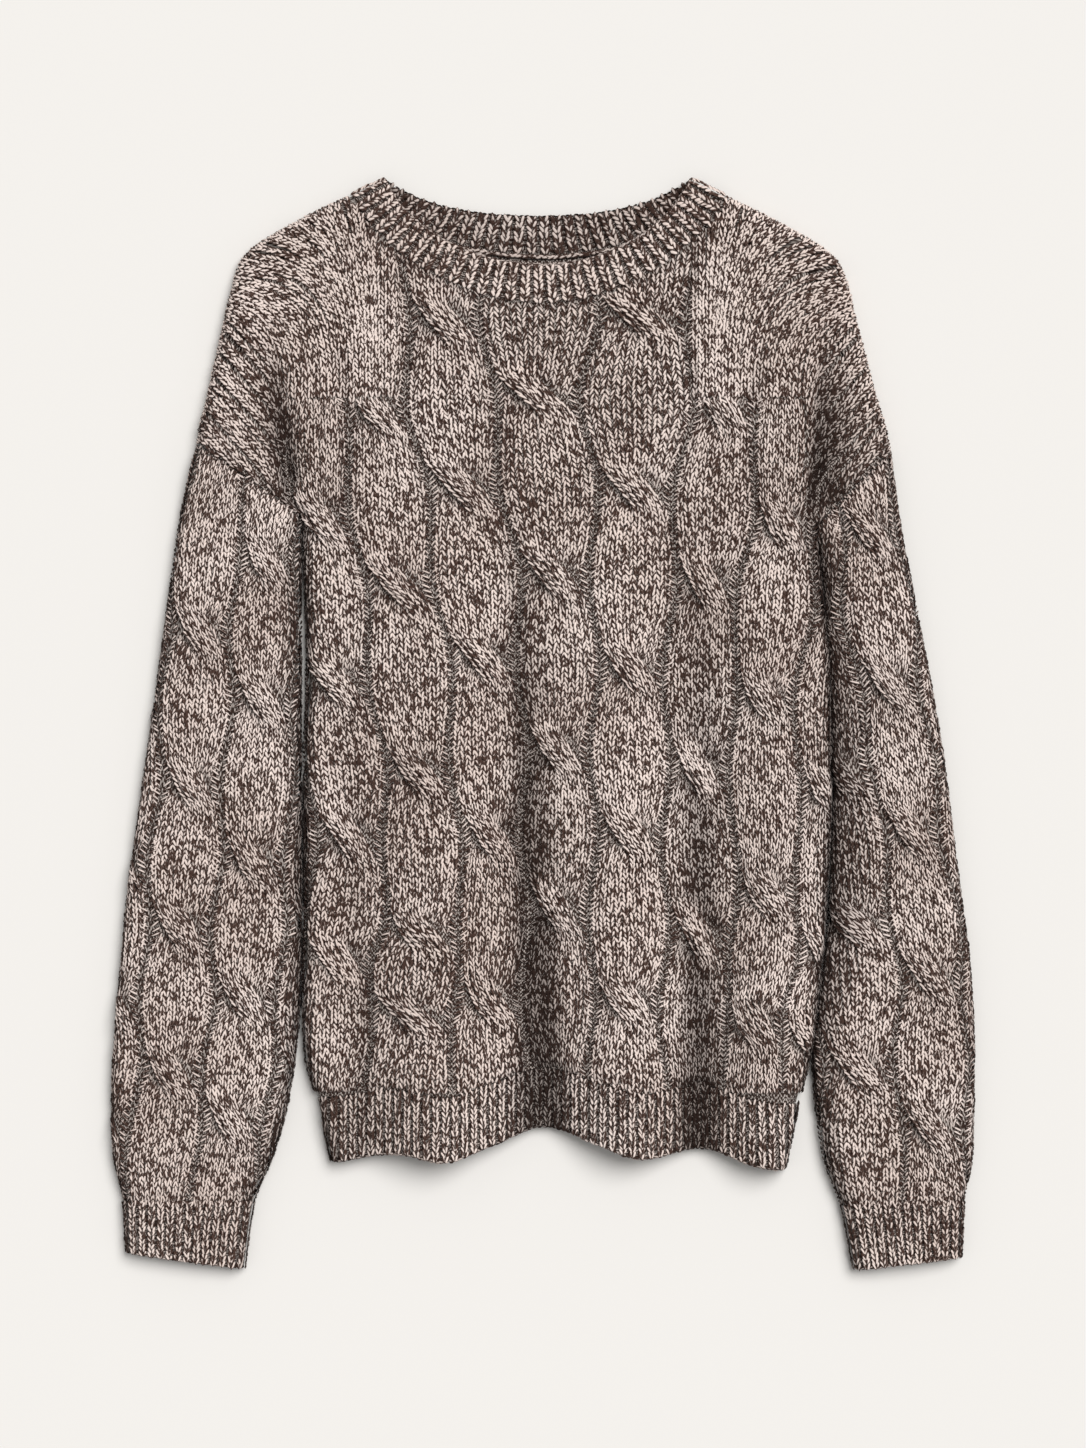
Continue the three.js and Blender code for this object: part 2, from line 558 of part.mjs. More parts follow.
const backPanel = bodyPiece({
  name: "back_panel",
  material: knit,
  onFront: false,
  stops: BACK_ROWS,
  end: NECK_SEAM,
  columns: BACK_COLUMNS,
  edgeColumns: BACK_EDGE_COLUMNS,
  raise: plain,
  step: { rows: 2, columns: 2 },
});

const hemColumns = 2 * Math.round(bodyCloth(HEM_SEAM, true) / RIB_PITCH / 2) * 2;
const frontHemRib = bodyPiece({
  name: "front_hem_rib",
  material: rib,
  onFront: true,
  stops: [{ from: HEM_EDGE, rows: RIB_ROWS }],
  end: HEM_SEAM,
  columns: hemColumns,
  edgeColumns: HEM_EDGE_COLUMNS,
  raise: ribbed,
  step: { rows: RIB_ROWS, columns: 2 },
});

const backHemRib = bodyPiece({
  name: "back_hem_rib",
  material: rib,
  onFront: false,
  stops: [{ from: HEM_EDGE, rows: RIB_ROWS }],
  end: HEM_SEAM,
  columns: BACK_COLUMNS,
  edgeColumns: BACK_EDGE_COLUMNS,
  raise: plain,
  step: { rows: 1, columns: 1 },
});

// A tube of knit that lies flat: columns over its top and then back along its underside
function tubePlace(v, j, topColumns, backColumns, total) {
  const onFront = j < topColumns;
  const length = total(v, onFront);
  const column = onFront ? j : backColumns - (j - topColumns);
  const columns = onFront ? topColumns : backColumns;
  return { v, onFront, cloth: columnPlace(column, columns, FRONT_EDGE_COLUMNS, ROLL_CLOTH, 0, length) };
}

function sleeveAndCuff({ side, rings, cables, sense }) {
  const form = { ...sleeveForm(rings), sense };
  const cableRise = cableField(cables);
  const armholeGap = form.gap(0, ARMHOLE_GAP);
  const cuffGap = form.gap(CUFF_SEAM, SEAM_GAP / 2);
  const sleeve = knitWall({
    name: `${side}_sleeve`,
    material: knit,
    rows: SLEEVE_ROWS,
    columns: SLEEVE_TOP_COLUMNS + SLEEVE_BACK_COLUMNS,
    closed: true,
    place: (i, j) => {
      const v = THREE.MathUtils.lerp(armholeGap, CUFF_SEAM - cuffGap, i / SLEEVE_ROWS);
      return tubePlace(v, j, SLEEVE_TOP_COLUMNS, SLEEVE_BACK_COLUMNS, form.total);
    },
    form,
    raise: ({ point, onFront, v, cloth }) => {
      if (!onFront) return 0;
      const fromEdge = Math.min(cloth, form.total(v) - cloth) / ROLL_CLOTH;
      const fromSeams = THREE.MathUtils.smoothstep(Math.min(v, CUFF_SEAM - v), 0, SEAM_FADE);
      return cableRise(point.x, point.y) * Math.min(fromEdge, 1) * fromSeams;
    },
    step: { rows: 2, columns: 2 },
  });
  const cuffTop = 2 * Math.round(form.total(CUFF_SEAM) / RIB_PITCH);
  const cuff = knitWall({
    name: `${side}_cuff`,
    material: rib,
    rows: RIB_ROWS,
    columns: cuffTop + SLEEVE_BACK_COLUMNS,
    closed: true,
    place: (i, j) => {
      const v = THREE.MathUtils.lerp(CUFF_SEAM + cuffGap, CUFF_EDGE, i / RIB_ROWS);
      return tubePlace(v, j, cuffTop, SLEEVE_BACK_COLUMNS, form.total);
    },
    form,
    raise: ribbed,
    step: { rows: RIB_ROWS, columns: 2 },
  });
  return [sleeve, cuff];
}

const neckTop = 2 * Math.round(bodyCloth(NECK_SEAM, true) / NECK_RIB_PITCH);
const neckBack = 2 * Math.round(bodyCloth(NECK_SEAM, false) / NECK_RIB_PITCH);
const neckband = knitWall({
  name: "neckband",
  material: rib,
  rows: RIB_ROWS,
  columns: neckTop + neckBack,
  closed: true,
  place: (i, j) => {
    const v = THREE.MathUtils.lerp(NECK_SEAM + SEAM_GAP / 2, NECK_EDGE, i / RIB_ROWS);
    return tubePlace(v, j, neckTop, neckBack, bodyCloth);
  },
  form: body,
  raise: ribbed,
  raiseInside: (spot) => (!spot.onFront && spot.j % 2 === 1 ? RIB_RISE : 0),
  step: { rows: RIB_ROWS, columns: 1 },
});

const sweater = new THREE.Group();
sweater.add(frontPanel, backPanel, frontHemRib, backHemRib, neckband);
sweater.add(
  ...sleeveAndCuff({
    side: "right",
    rings: RIGHT_SLEEVE_RINGS,
    cables: RIGHT_SLEEVE_CABLES,
    sense: -1,
  }),
  ...sleeveAndCuff({
    side: "left",
    rings: LEFT_SLEEVE_RINGS,
    cables: LEFT_SLEEVE_CABLES,
    sense: 1,
  }),
);

export default sweater;
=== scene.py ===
import math
import bpy
import numpy as np
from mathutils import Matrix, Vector


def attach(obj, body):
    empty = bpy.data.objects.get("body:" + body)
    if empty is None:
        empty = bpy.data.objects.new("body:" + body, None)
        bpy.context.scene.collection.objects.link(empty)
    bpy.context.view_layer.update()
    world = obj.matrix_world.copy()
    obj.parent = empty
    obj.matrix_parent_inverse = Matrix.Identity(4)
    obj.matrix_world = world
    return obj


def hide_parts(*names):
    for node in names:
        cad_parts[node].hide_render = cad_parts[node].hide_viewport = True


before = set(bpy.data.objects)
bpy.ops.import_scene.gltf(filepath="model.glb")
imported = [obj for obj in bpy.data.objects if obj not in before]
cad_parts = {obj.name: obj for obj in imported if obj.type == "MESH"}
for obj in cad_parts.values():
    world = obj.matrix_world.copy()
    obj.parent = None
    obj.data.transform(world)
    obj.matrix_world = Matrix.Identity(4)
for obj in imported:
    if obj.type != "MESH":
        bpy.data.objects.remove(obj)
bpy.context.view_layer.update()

# The body of the sweater: a front and a back of chunky marl wool, knitted in cables, that lie on
# each other. The cloth rolls over at the sides and shoulders, and the front lies in soft folds.
# All its pieces take their form from here. Millimetres, until a mesh is made.
WALE = 4.3          # width of a stitch
COURSE = 3.2        # height of a stitch
FOLD_HEIGHT = 5.5   # the widest point of a rolled side, above the surface
ROLL = 8.0          # how far a side takes to come round, seen from above
ROLL_RISE = 7.5
QUARTER = math.pi / 2
rings = dict(
    front=[-283, -242, -215, -182, -116, -40, 40, 82, 126, 172, 192, 214, 238, 258, 277, 301],
    back=[-281, -242, -215, -182, -116, -40, 40, 82, 130, 180, 202, 228, 258, 284, 306, 334],
    left_x=[-138, -148, -155, -157, -156, -156, -154, -155, -159, -227, -219, -210, -198, -161, -126, -104],
    left_y=[-283, -242, -215, -182, -116, -40, 40, 82, 137, 184, 222, 262, 305, 331, 348, 358],
    right_x=[158, 167, 174, 179, 185, 188, 187, 183, 180, 228, 217, 207, 195, 153, 120, 97],
    right_y=[-283, -242, -215, -182, -116, -40, 40, 82, 130, 179, 222, 260, 302, 331, 347, 358],
    turn=[0, 0, 0, 0, 0, 0, 0, 0, 0, 10, 14, 20, 36, 56, 62, 68],
    back_turn=[0, 0, 0, 0, 0, 0, 0, 0, 0, 10, 14, 20, 34, 46, 42, 36],
    strip=[0, 0, 0, 0, 0, 0, 0, 0, 0, 0, 15, 20, 23, 26, 28, 28])
HEM_EDGE, HEM_SEAM, NECK_SEAM, NECK_EDGE = -283, -242, 277, 301
UNDERARM, ARMHOLE_TOP = 126, 172
BODY_HEIGHT, NECK_HEIGHT = 13, 10   # the front above the surface, before its folds and cables
LOWEST_TOP = 7.6    # where the front lies on the back
FOLD_END = 20       # a fold that ends within the front dies out over this length
folds = [  # x0, y0, x1, y1, height at the second end, reach to the left and to the right
    (-64, 150, -72, -290, 13, 32, 30), (-20, 150, 4, -280, -5.5, 22, 20),
    (42, 150, 52, -290, 12, 24, 24), (104, 150, 102, -290, -5, 16, 16),
    (146, 140, 144, -290, 9, 18, 20), (-128, 60, -112, -285, -3, 14, 14),
    (-182, 268, -166, 166, -5.5, 13, 8), (184, 272, 178, 158, -5.5, 6, 24)]


def ramp(value, low, high):
    t = np.clip((value - low) / (high - low), 0, 1)
    return t * t * (3 - 2 * t)


def track(at, to):
    at, to = np.array(at, float), np.array(to, float)
    step = np.diff(to) / np.diff(at)
    slope = np.empty(len(at))
    slope[0], slope[-1] = step[0], step[-1]
    for i in range(1, len(at) - 1):
        turns = step[i - 1] * step[i] <= 0
        slope[i] = 0 if turns else 2 * step[i - 1] * step[i] / (step[i - 1] + step[i])

    def value(x):
        x = np.clip(x, at[0], at[-1])
        i = np.clip(np.searchsorted(at, x) - 1, 0, len(at) - 2)
        width, rise = at[i + 1] - at[i], to[i + 1] - to[i]
        t = (x - at[i]) / width
        bend, leave = slope[i] * width, slope[i + 1] * width
        return to[i] + t * (bend + t * (3 * rise - 2 * bend - leave + t * (bend + leave - 2 * rise)))
    return value


ring = {name: track(rings["front"], row) for name, row in rings.items() if name != "front"}
hem_wave = track([-138, -94, -65, -34, 1, 36, 67, 103, 140, 158],
                 [-4, 2, -3, 7, 19, 8, -1, 5, -6, -9])


def roll_cloth(reach):
    return QUARTER * np.sqrt((reach ** 2 + ROLL_RISE ** 2) / 2)


ROLL_CLOTH = roll_cloth(ROLL)


def roll(cloth, reach, start):
    angle = start + cloth / roll_cloth(reach) * QUARTER
    turned = roll_cloth(reach) * (1 - start / QUARTER)
    on_top = angle >= QUARTER
    inset = np.where(on_top, reach * np.cos(start) + cloth - turned,
                     reach * (np.cos(start) - np.cos(angle)))
    return inset, np.where(on_top, 1, np.sin(angle))


def fold_height(x, y):
    height = 0
    for x0, y0, x1, y1, rise, left, right in folds:
        t = np.clip((y - y0) / (y1 - y0), 0, 1)
        offset = x - (x0 + (x1 - x0) * t)
        past = np.maximum(y1 - y, 0)
        reach = np.where(offset < 0, left, right)
        height = height + rise * t * (2 - t) * np.exp(-(offset / reach) ** 2 - (past / FOLD_END) ** 2)
    return height


def body_edge(v, side):
    share = (v - UNDERARM) / (ARMHOLE_TOP - UNDERARM)
    on_seam = (share > 0) & (share < 1)
    x, y = ring[side + "_x"](v), ring[side + "_y"](v)
    x0, y0 = rings[side + "_x"][8], rings[side + "_y"][8]
    x1, y1 = rings[side + "_x"][9], rings[side + "_y"][9]
    inward = np.minimum(share, 1 - share) * math.hypot(x1 - x0, y1 - y0)
    start = np.arccos(1 - np.clip(inward / ROLL, 0, 1))
    return (np.where(on_seam, x0 + (x1 - x0) * share, x),
            np.where(on_seam, y0 + (y1 - y0) * share, y), np.where(on_seam, start, 0))


def body_half(v, front, side):
    x, y, start = body_edge(v, side)
    middle = np.where(front, v, ring["back"](v))
    return np.hypot(x, middle - y) + ROLL_CLOTH * (1 - start / QUARTER) - ROLL * np.cos(start)


def body_cloth(v, front):
    return body_half(v, front, "left") + body_half(v, front, "right")


def body_inset(v, front, across):
    """How far a place lies along the cloth from the nearer edge of its layer."""
    return np.minimum(body_half(v, front, "left") + across, body_half(v, front, "right") - across)


def body_point(v, front, cloth):
    """A point of the body at a row, a layer and a length of cloth from the layer's left edge."""
    v, front, cloth = [np.array(a) for a in np.broadcast_arrays(v, front, cloth)]
    total = body_cloth(v, front)
    under, over = cloth < 0, cloth > total
    cloth = np.where(under, -cloth, np.where(over, body_cloth(v, ~front) - (cloth - total), cloth))
    front = front ^ (under | over)
    left = body_half(v, front, "left")
    on_left = cloth < left
    lx, ly, ls = body_edge(v, "left")
    rx, ry, rs = body_edge(v, "right")
    ex, ey, start = np.where(on_left, lx, rx), np.where(on_left, ly, ry), np.where(on_left, ls, rs)
    inset, turned = roll(np.where(on_left, cloth, body_cloth(v, front) - cloth), ROLL, start)
    my = np.where(front, v, ring["back"](v))
    reach = np.hypot(ex, my - ey)
    t = np.minimum(inset / reach, 1)
    side = np.sign(-ex)
    angle = np.radians(np.where(front, ring["turn"](v), ring["back_turn"](v)))
    back = t - 1
    from_end, from_middle = back * back * (1 + 2 * t), t * t * (3 - 2 * t)
    x = from_end * ex + t * back * back * side * reach * np.cos(angle) + t * t * back * side * reach
    y = from_end * ey + from_middle * my - t * back * back * reach * np.sin(angle)
    y = y + hem_wave(x) * (1 - ramp(v, HEM_EDGE, HEM_EDGE + 150))
    level = BODY_HEIGHT + (NECK_HEIGHT - BODY_HEIGHT) * ramp(v, 190, NECK_SEAM)
    top = np.maximum(level + fold_height(x, y), LOWEST_TOP)
    z = np.where(front, FOLD_HEIGHT + (top - FOLD_HEIGHT) * turned, FOLD_HEIGHT * (1 - turned))
    return np.stack([x, y, z], -1)


def unit(vectors):
    return vectors / np.maximum(np.linalg.norm(vectors, axis=-1, keepdims=True), 1e-9)


def surface_frame(point, v, across, step=0.5):
    """Points and normals. `point` takes a row and a length across; a step leads to a row beside."""
    side = point(v, across + 0.2) - point(v, across - 0.2)
    upward = point(v + step, across) - point(v - step, across)
    return point(v, across), unit(np.cross(side, upward))


def front_point(v, across):
    """The front at a row and a length of cloth from its middle; past an edge it goes under."""
    return body_point(v, True, body_half(v, True, "left") + across)


def back_point(v, across):
    return body_point(v, False, body_half(v, False, "left") + across)


def body_frame(front):
    """Points of a layer, and normals that point away from the other layer."""
    point = front_point if front else back_point

    def at(v, across):
        p, n = surface_frame(point, v, across)
        return p, n if front else -n
    return at


ROUNDS = 20         # how often a place seen from above is closed in on
NEARER = 0.7        # the share of what is left to go in each round
FARTHEST = 12       # the most to go in one


def at_plan(x, y):
    """The row and the length across of the front that lie at a place seen from above."""
    v, across = y - 0.6 * np.maximum(np.abs(x) - 60, 0) * ramp(y, 230, 300), np.array(x, float)
    loose = ramp(y, 120, 135)
    for _ in range(ROUNDS):
        p = front_point(v, across)
        v = v + np.clip(y - p[..., 1], -FARTHEST, FARTHEST) * NEARER
        across = across + np.clip(x - p[..., 0], -FARTHEST, FARTHEST) * NEARER * loose
        v = np.clip(v, HEM_EDGE - 4, NECK_EDGE + 8)
        left, right = body_half(v, True, "left"), body_half(v, True, "right")
        across = np.where(y > 136, np.clip(across, 4 - left, right - 4), across)
    return v, across


# Yarn: two plies, one dark brown and one off-white, twisted together. Each leg of a stitch is a
# short plump piece of it. The twist shows as a pale stroke on some legs and a dark one on others.
LEG_RISE = 1.3
DARK = (0.068, 0.038, 0.029, 1)
PALE = (0.93, 0.80, 0.735, 1)
SOFT_PALE = (0.76, 0.63, 0.565, 1)
WOOL_SKIN = {"Roughness": 0.92, "Specular IOR Level": 0.08, "Sheen Weight": 0.05, "Sheen Roughness": 0.5}
seed = np.random.default_rng(7)


class Socket:
    """A shader value that takes part in plain sums."""
    tree = None

    def __init__(self, value):
        self.value = value

    @classmethod
    def node(cls, kind, settings=None, inputs=None, output=0):
        made = cls.tree.nodes.new(kind)
        for name, value in (settings or {}).items():
            setattr(made, name, value)
        for name, value in (inputs or {}).items():
            value = value.value if isinstance(value, Socket) else value
            if isinstance(value, bpy.types.NodeSocket):
                cls.tree.links.new(value, made.inputs[name])
            else:
                made.inputs[name].default_value = value
        return cls(made.outputs[output])

    def maths(self, operation, *others):
        return Socket.node("ShaderNodeMath", {"operation": operation},
                           dict(enumerate([self, *others])))

    def __add__(self, other):
        return self.maths("ADD", other)

    __radd__ = __add__

    def __sub__(self, other):
        return self.maths("SUBTRACT", other)

    def __rsub__(self, other):
        return Socket(other).maths("SUBTRACT", self)

    def __mul__(self, other):
        return self.maths("MULTIPLY", other)

    __rmul__ = __mul__

    def sine(self):
        return self.maths("SINE")

    def part(self):
        return self.maths("FRACT")

    def whole(self):
        return self.maths("FLOOR")

    def size(self):
        return self.maths("ABSOLUTE")

    def between(self, low, high):
        return Socket.node("ShaderNodeMapRange", {"interpolation_type": "SMOOTHSTEP"},
                           {"Value": self, "From Min": low, "From Max": high})


def blend(share, first, second, mode="MIX"):
    return Socket.node("ShaderNodeMix", {"data_type": "RGBA", "blend_type": mode},
                       {0: share, 6: first, 7: second}, output=2)


def wool(name):
    material = bpy.data.materials.new(name)
    material.use_nodes = True
    Socket.tree = material.node_tree
    skin = material.node_tree.nodes["Principled BSDF"]
    for name, value in WOOL_SKIN.items():
        skin.inputs[name].default_value = value
    return material, skin


def plug(source, target):
    Socket.tree.links.new(source.value, target)


def patches(scale):
    place = Socket.node("ShaderNodeTexCoord", output="Object")
    return Socket.node("ShaderNodeTexNoise", {}, {"Vector": place, "Scale": scale, "Detail": 2.0})


marl, skin = wool("marl yarn")
uv = Socket.node("ShaderNodeUVMap", {"uv_map": "yarn"})
split = Socket.node("ShaderNodeSeparateXYZ", {}, {0: uv})
along, across = split, Socket(split.value.node.outputs[1])
twist = ((along + across * 0.5) * (2 * math.pi)).sine()
fibre = patches(1500.0)
tone = patches(14.0).between(0.25, 0.8)
clump = patches(150.0)
# Painted shade: the first value of this map is each leg's shade factor, worked out from its height and
# place. It darkens the leg's colour, and darker legs show fewer pale strokes. The second value is how far
# along its leg a point lies.
painted_shade_and_share = Socket.node("ShaderNodeUVMap", {"uv_map": "painted_shade_and_share"})
light = Socket.node("ShaderNodeSeparateXYZ", {}, {0: painted_shade_and_share})
share = Socket(light.value.node.outputs[1])
core = 0.34 - across.size() * 3.6 - (share - 0.5).size().between(0.25, 0.5) * 1.2 + tone * 0.2
mixed = core + light * 0.5 + twist * 0.72 + (clump - 0.5) * 1.5 + (fibre - 0.5) * 0.9
pale = mixed.between(-0.1, 0.6)
strands = blend(pale, DARK, blend(tone, SOFT_PALE, PALE))
# The painted shade multiplies the yarn's colour, down to 0.3 of it on the darkest legs.
light = light * 0.70 + 0.30
plug(blend(1.0, strands, light, "MULTIPLY"), skin.inputs["Base Color"])
bump = Socket.node("ShaderNodeBump", {}, {"Strength": 0.35, "Distance": 0.0004, "Height": fibre})
plug(bump, skin.inputs["Normal"])

# The ground of the knit: the same marl, seen between the stitches and on the sides that lie
# underneath, where the stitches are only drawn. Its dark is darker than the yarn's dark ply: partly
# the ply's brown and partly painted shade in the gaps between stitches, drawn ones too.
GROUND_DARK_AND_SHADE = (0.045, 0.026, 0.020, 1)
GROUND_PALE = (0.50, 0.44, 0.40, 1)
ground, skin = wool("knit ground")
uv = Socket.node("ShaderNodeUVMap", {"uv_map": "knit"})
split = Socket.node("ShaderNodeSeparateXYZ", {}, {0: uv})
wales, courses = split, Socket(split.value.node.outputs[1])
lean = (wales.part() - 0.5).size() * 2
row = courses - lean * 0.9
cell = Socket.node("ShaderNodeCombineXYZ", {}, {0: (wales * 2).whole(), 1: row.whole()})
chance = Socket.node("ShaderNodeTexWhiteNoise", {}, {"Vector": cell})
stroke = ((row.part() + (lean * 2).part() * 0.4 + chance) * (2 * math.pi)).sine()
# The gaps between the drawn stitches stay dark: painted shade, and the bump sinks them too.
gap = (row.part() - 0.5).size().between(0.5, 0.3) * ((lean - 0.5).size().between(0.5, 0.35))
pale = (stroke + (patches(900.0) - 0.5)).between(-0.5, 0.7) * gap
plug(blend(pale, GROUND_DARK_AND_SHADE, GROUND_PALE), skin.inputs["Base Color"])
bump = Socket.node("ShaderNodeBump", {}, {"Strength": 0.6, "Distance": 0.0012, "Height": gap})
plug(bump, skin.inputs["Normal"])


def new_mesh(name, points, faces, material):
    mesh = bpy.data.meshes.new(name)
    points = np.maximum(points, [-1e6, -1e6, 0.1])
    corners = faces.shape[1]
    mesh.vertices.add(len(points))
    mesh.vertices.foreach_set("co", (points / 1000).astype(np.float32).ravel())
    mesh.loops.add(faces.size)
    mesh.loops.foreach_set("vertex_index", faces.astype(np.int32).ravel())
    mesh.polygons.add(len(faces))
    mesh.polygons.foreach_set("loop_start", np.arange(0, faces.size, corners, dtype=np.int32))
    mesh.polygons.foreach_set("loop_total", np.full(len(faces), corners, dtype=np.int32))
    mesh.update(calc_edges=True)
    mesh.polygons.foreach_set("use_smooth", np.ones(len(faces), dtype=bool))
    mesh.materials.append(material)
    piece = bpy.data.objects.new(name, mesh)
    bpy.context.scene.collection.objects.link(piece)
    return piece


def add_uv(piece, name, values, faces):
    layer = piece.data.uv_layers.new(name=name)
    layer.data.foreach_set("uv", values[faces.ravel()].astype(np.float32).ravel())


# Where a leg of yarn is cut across: how far along it, its half width and its height there
STATIONS = [(0.0, 0.0, 0.15), (0.30, 1.0, 1.0), (0.70, 1.0, 0.95), (1.0, 0.0, 0.1)]
LEG_SHARES = [0, 0.3, 0.3, 0.3, 0.7, 0.7, 0.7, 1]
LEG_FACES = np.array([(0, 3, 2), (0, 2, 1), (2, 3, 6), (2, 6, 5), (1, 2, 5), (1, 5, 4),
                      (5, 6, 7), (4, 5, 7)])


def yarn_legs(name, foot, head, normal, width, light):
    """A joined mesh of short pieces of yarn, each from its foot to its head over a surface."""
    way = head - foot
    beside = unit(np.cross(way, normal))
    phase = seed.random(len(foot))
    points, yarn, baked = [], [], []
    count = int(math.ceil(math.sqrt(len(foot))))
    cell = np.stack([np.arange(len(foot)) % count, np.arange(len(foot)) // count], -1)
    for share, half, height in STATIONS:
        sides = (0,) if half == 0 else (-1, 0, 1)
        for side in sides:
            low = height if side == 0 else height * 0.3
            points.append(foot + way * share + beside * (side * half * width / 2)[:, None]
                          + normal * LEG_RISE * low)
            yarn.append(np.stack([phase + share * 0.42, np.full(len(foot), side * 0.5)], -1))
            inside = np.array([0.1 + 0.8 * share, 0.5 + 0.4 * side])
            baked.append((cell + inside) / count)
    points, yarn, baked = [np.stack(rows, 1).reshape(len(foot) * 8, -1)
                           for rows in (points, yarn, baked)]
    faces = (LEG_FACES[None] + 8 * np.arange(len(foot))[:, None, None]).reshape(-1, 3)
    piece = new_mesh(name, points, faces, marl)
    add_uv(piece, "yarn", yarn, faces)
    # Each leg's painted shade factor, with the shares along it
    add_uv(piece, "painted_shade_and_share", np.stack([np.repeat(light, 8), np.tile(LEG_SHARES, len(foot))], -1), faces)
    add_uv(piece, "OFBake", baked, faces)
    return piece


# The cables of the front. Each is a column of ten wales, and five of them cross over the other
# five at every crossing, always from upper left to lower right. Two purl wales part the columns.
CHANNEL = 2.8       # half the width of the purl between two columns
CROSSING = 19.0     # half the length of a crossing
PERIOD = 112.0
MEANDER = 0.07      # swing of a channel, as a share of the distance between cables
YOKE_START = 30     # a channel dies out from this far above its first crossing, over as much again
OVAL_RISE = 2.2     # plain ovals over the channels between them
CHANNEL_SLOPE = 9   # from the bottom of a channel to the top of the oval beside it
STRAND_RISE = 2.8   # the relief of the strand that passes in front, over its oval
STRAND_LENGTH, STRAND_WIDTH = 16, 7
STRAND_ANGLE = math.radians(-48)
DIMPLE_DEPTH = 1.6  # the hollows on both sides of a crossing
DIMPLE_REACH, DIMPLE_SIZE = 12, 6
STRAND_PITCH = 3.3  # a wale of the strand, narrower than one of an oval
STRAND_LIFT = 3.4   # how far its yarn stands over the relief
STRAND_SINK = 2.0   # how far the wales under it sink
front_cables = [
    ([-229, -219, -212, -217], [134, 27, -75, -154]),
    ([-188, -178, -171, -176], [78, -22, -122, -200]),
    ([-147, -136, -128, -147], [134, 27, -75, -154]),
    ([-114, -95, -80, -72, -84], [206, 91, -31, -136, -189]),
    ([-68, -52, -39, -36, -35], [265, 155, 42, -75, -182]),
    ([-9, 8, 10, 11], [215, 97, -17, -121]),
    ([71, 62, 58, 56, 52], [266, 154, 35, -72, -182]),
    ([124, 108, 104, 105], [205, 91, -31, -140]),
    ([159, 144, 148, 133], [130, 17, -112, -196]),
    ([199, 186, 186, 178], [75, -45, -150, -210]),
    ([240, 227, 227, 219], [130, 17, -112, -196])]


class Cables:
    def __init__(self, cables):
        self.cables = [(np.array(x, float), np.array(y, float)) for x, y in cables]
        self.centres = [track(y[::-1], x[::-1]) for x, y in self.cables]
        self.tops = [y[0] for _, y in self.cables]

    def beat(self, k, y):
        away = np.min(np.abs(np.asarray(y)[..., None] - self.cables[k][1]), -1)
        return np.cos(2 * np.pi * away / PERIOD)

    def channel(self, k, y):
        left, right = self.centres[k](y), self.centres[k + 1](y)
        return (left + right) / 2 - MEANDER * (right - left) * (self.beat(k, y) - self.beat(k + 1, y)) / 2

    def yoke(self, k, y):
        top = max(self.tops[k], self.tops[k + 1]) + YOKE_START
        return ramp(y, top, top + YOKE_START)

    def rise(self, x, y):
        """The plain relief under the stitches: ovals over the channels between them."""
        gap = np.full(np.shape(x), 99.0)
        for k in range(len(self.cables) - 1):
            gap = np.minimum(gap, np.abs(x - self.channel(k, y)) + CHANNEL_SLOPE * self.yoke(k, y))
        height = OVAL_RISE * ramp(gap, 0, CHANNEL_SLOPE)
        c, s = math.cos(STRAND_ANGLE), math.sin(STRAND_ANGLE)
        for xs, ys in self.cables:
            for cx, cy in zip(xs, ys):
                dx, dy = x - cx, y - cy
                a, b = dx * c + dy * s, -dx * s + dy * c
                strand = np.exp(-(a / STRAND_LENGTH) ** 2 - (b / STRAND_WIDTH) ** 2)
                beside = (np.abs(b) - DIMPLE_REACH) / DIMPLE_SIZE
                height = height + STRAND_RISE * strand
                height = height - DIMPLE_DEPTH * np.exp(-(a / DIMPLE_SIZE) ** 2 - beside ** 2)
        return np.maximum(height, 0)

    def wales(self, low, high):
        """Every wale in stretches, one for each crossing: x, y, extra height, width, and what shows."""
        found = []
        for k in range(1, len(self.cables) - 1):
            ys = self.cables[k][1]
            stops = np.concatenate([[high], (ys[1:] + ys[:-1]) / 2, [low]])
            for crossing, top, bottom in zip(ys, stops[:-1], stops[1:]):
                y = low + COURSE * np.arange(math.ceil((bottom - low) / COURSE),
                                             math.ceil((top - low) / COURSE))
                if len(y) > 2:
                    found += self.stretch(k, crossing, y)
        return found

    def stretch(self, k, crossing, y):
        left, right = self.channel(k - 1, y) + CHANNEL, self.channel(k, y) - CHANNEL
        even = (right - left) / 10
        u = np.clip((y - crossing) / CROSSING, -1, 1)
        bell = np.cos(u * QUARTER) ** 2
        shift = 1 - ramp(u, -1, 1)
        slope = np.gradient(shift * (right - left) / 2, y)
        pitch = even + (STRAND_PITCH * np.sqrt(1 + slope ** 2) - even) * bell
        half = 2.5 * pitch
        middle = left + half + shift * (right - left - 2 * half)
        raised = 1 - ramp(np.abs(y - crossing), 0.6 * CROSSING, 1.4 * CROSSING)
        found = []
        for j in range(5):
            lift = STRAND_LIFT * raised * (1 - 0.12 * (j - 2) ** 2)
            found.append((middle + (j - 2) * pitch, y, lift, pitch, y == y))
        for j in range(5):
            above = right - (4.5 - j) * even - 2.5 * bell
            below = left + (j + 0.5) * even + 2.5 * bell
            for x, part, away in ((above, u > 0, above - middle - half),
                                  (below, u <= 0, middle - half - below)):
                sink = -STRAND_SINK * bell * np.exp(-(np.maximum(away, 0) / 8) ** 2)
                found.append((x, y, sink, even, part & (away > -2.5)))
        return found

    def bars(self, low, high):
        """The purl bars between the columns: x, y, how far they have faded and how far they fan."""
        y = np.arange(low, high, COURSE)
        return [(self.channel(k, y), y, self.yoke(k, y),
                 np.maximum(np.maximum(self.beat(k, y), self.beat(k + 1, y)), 0) ** 2)
                for k in range(len(self.cables) - 1)]


front_relief = Cables(front_cables)


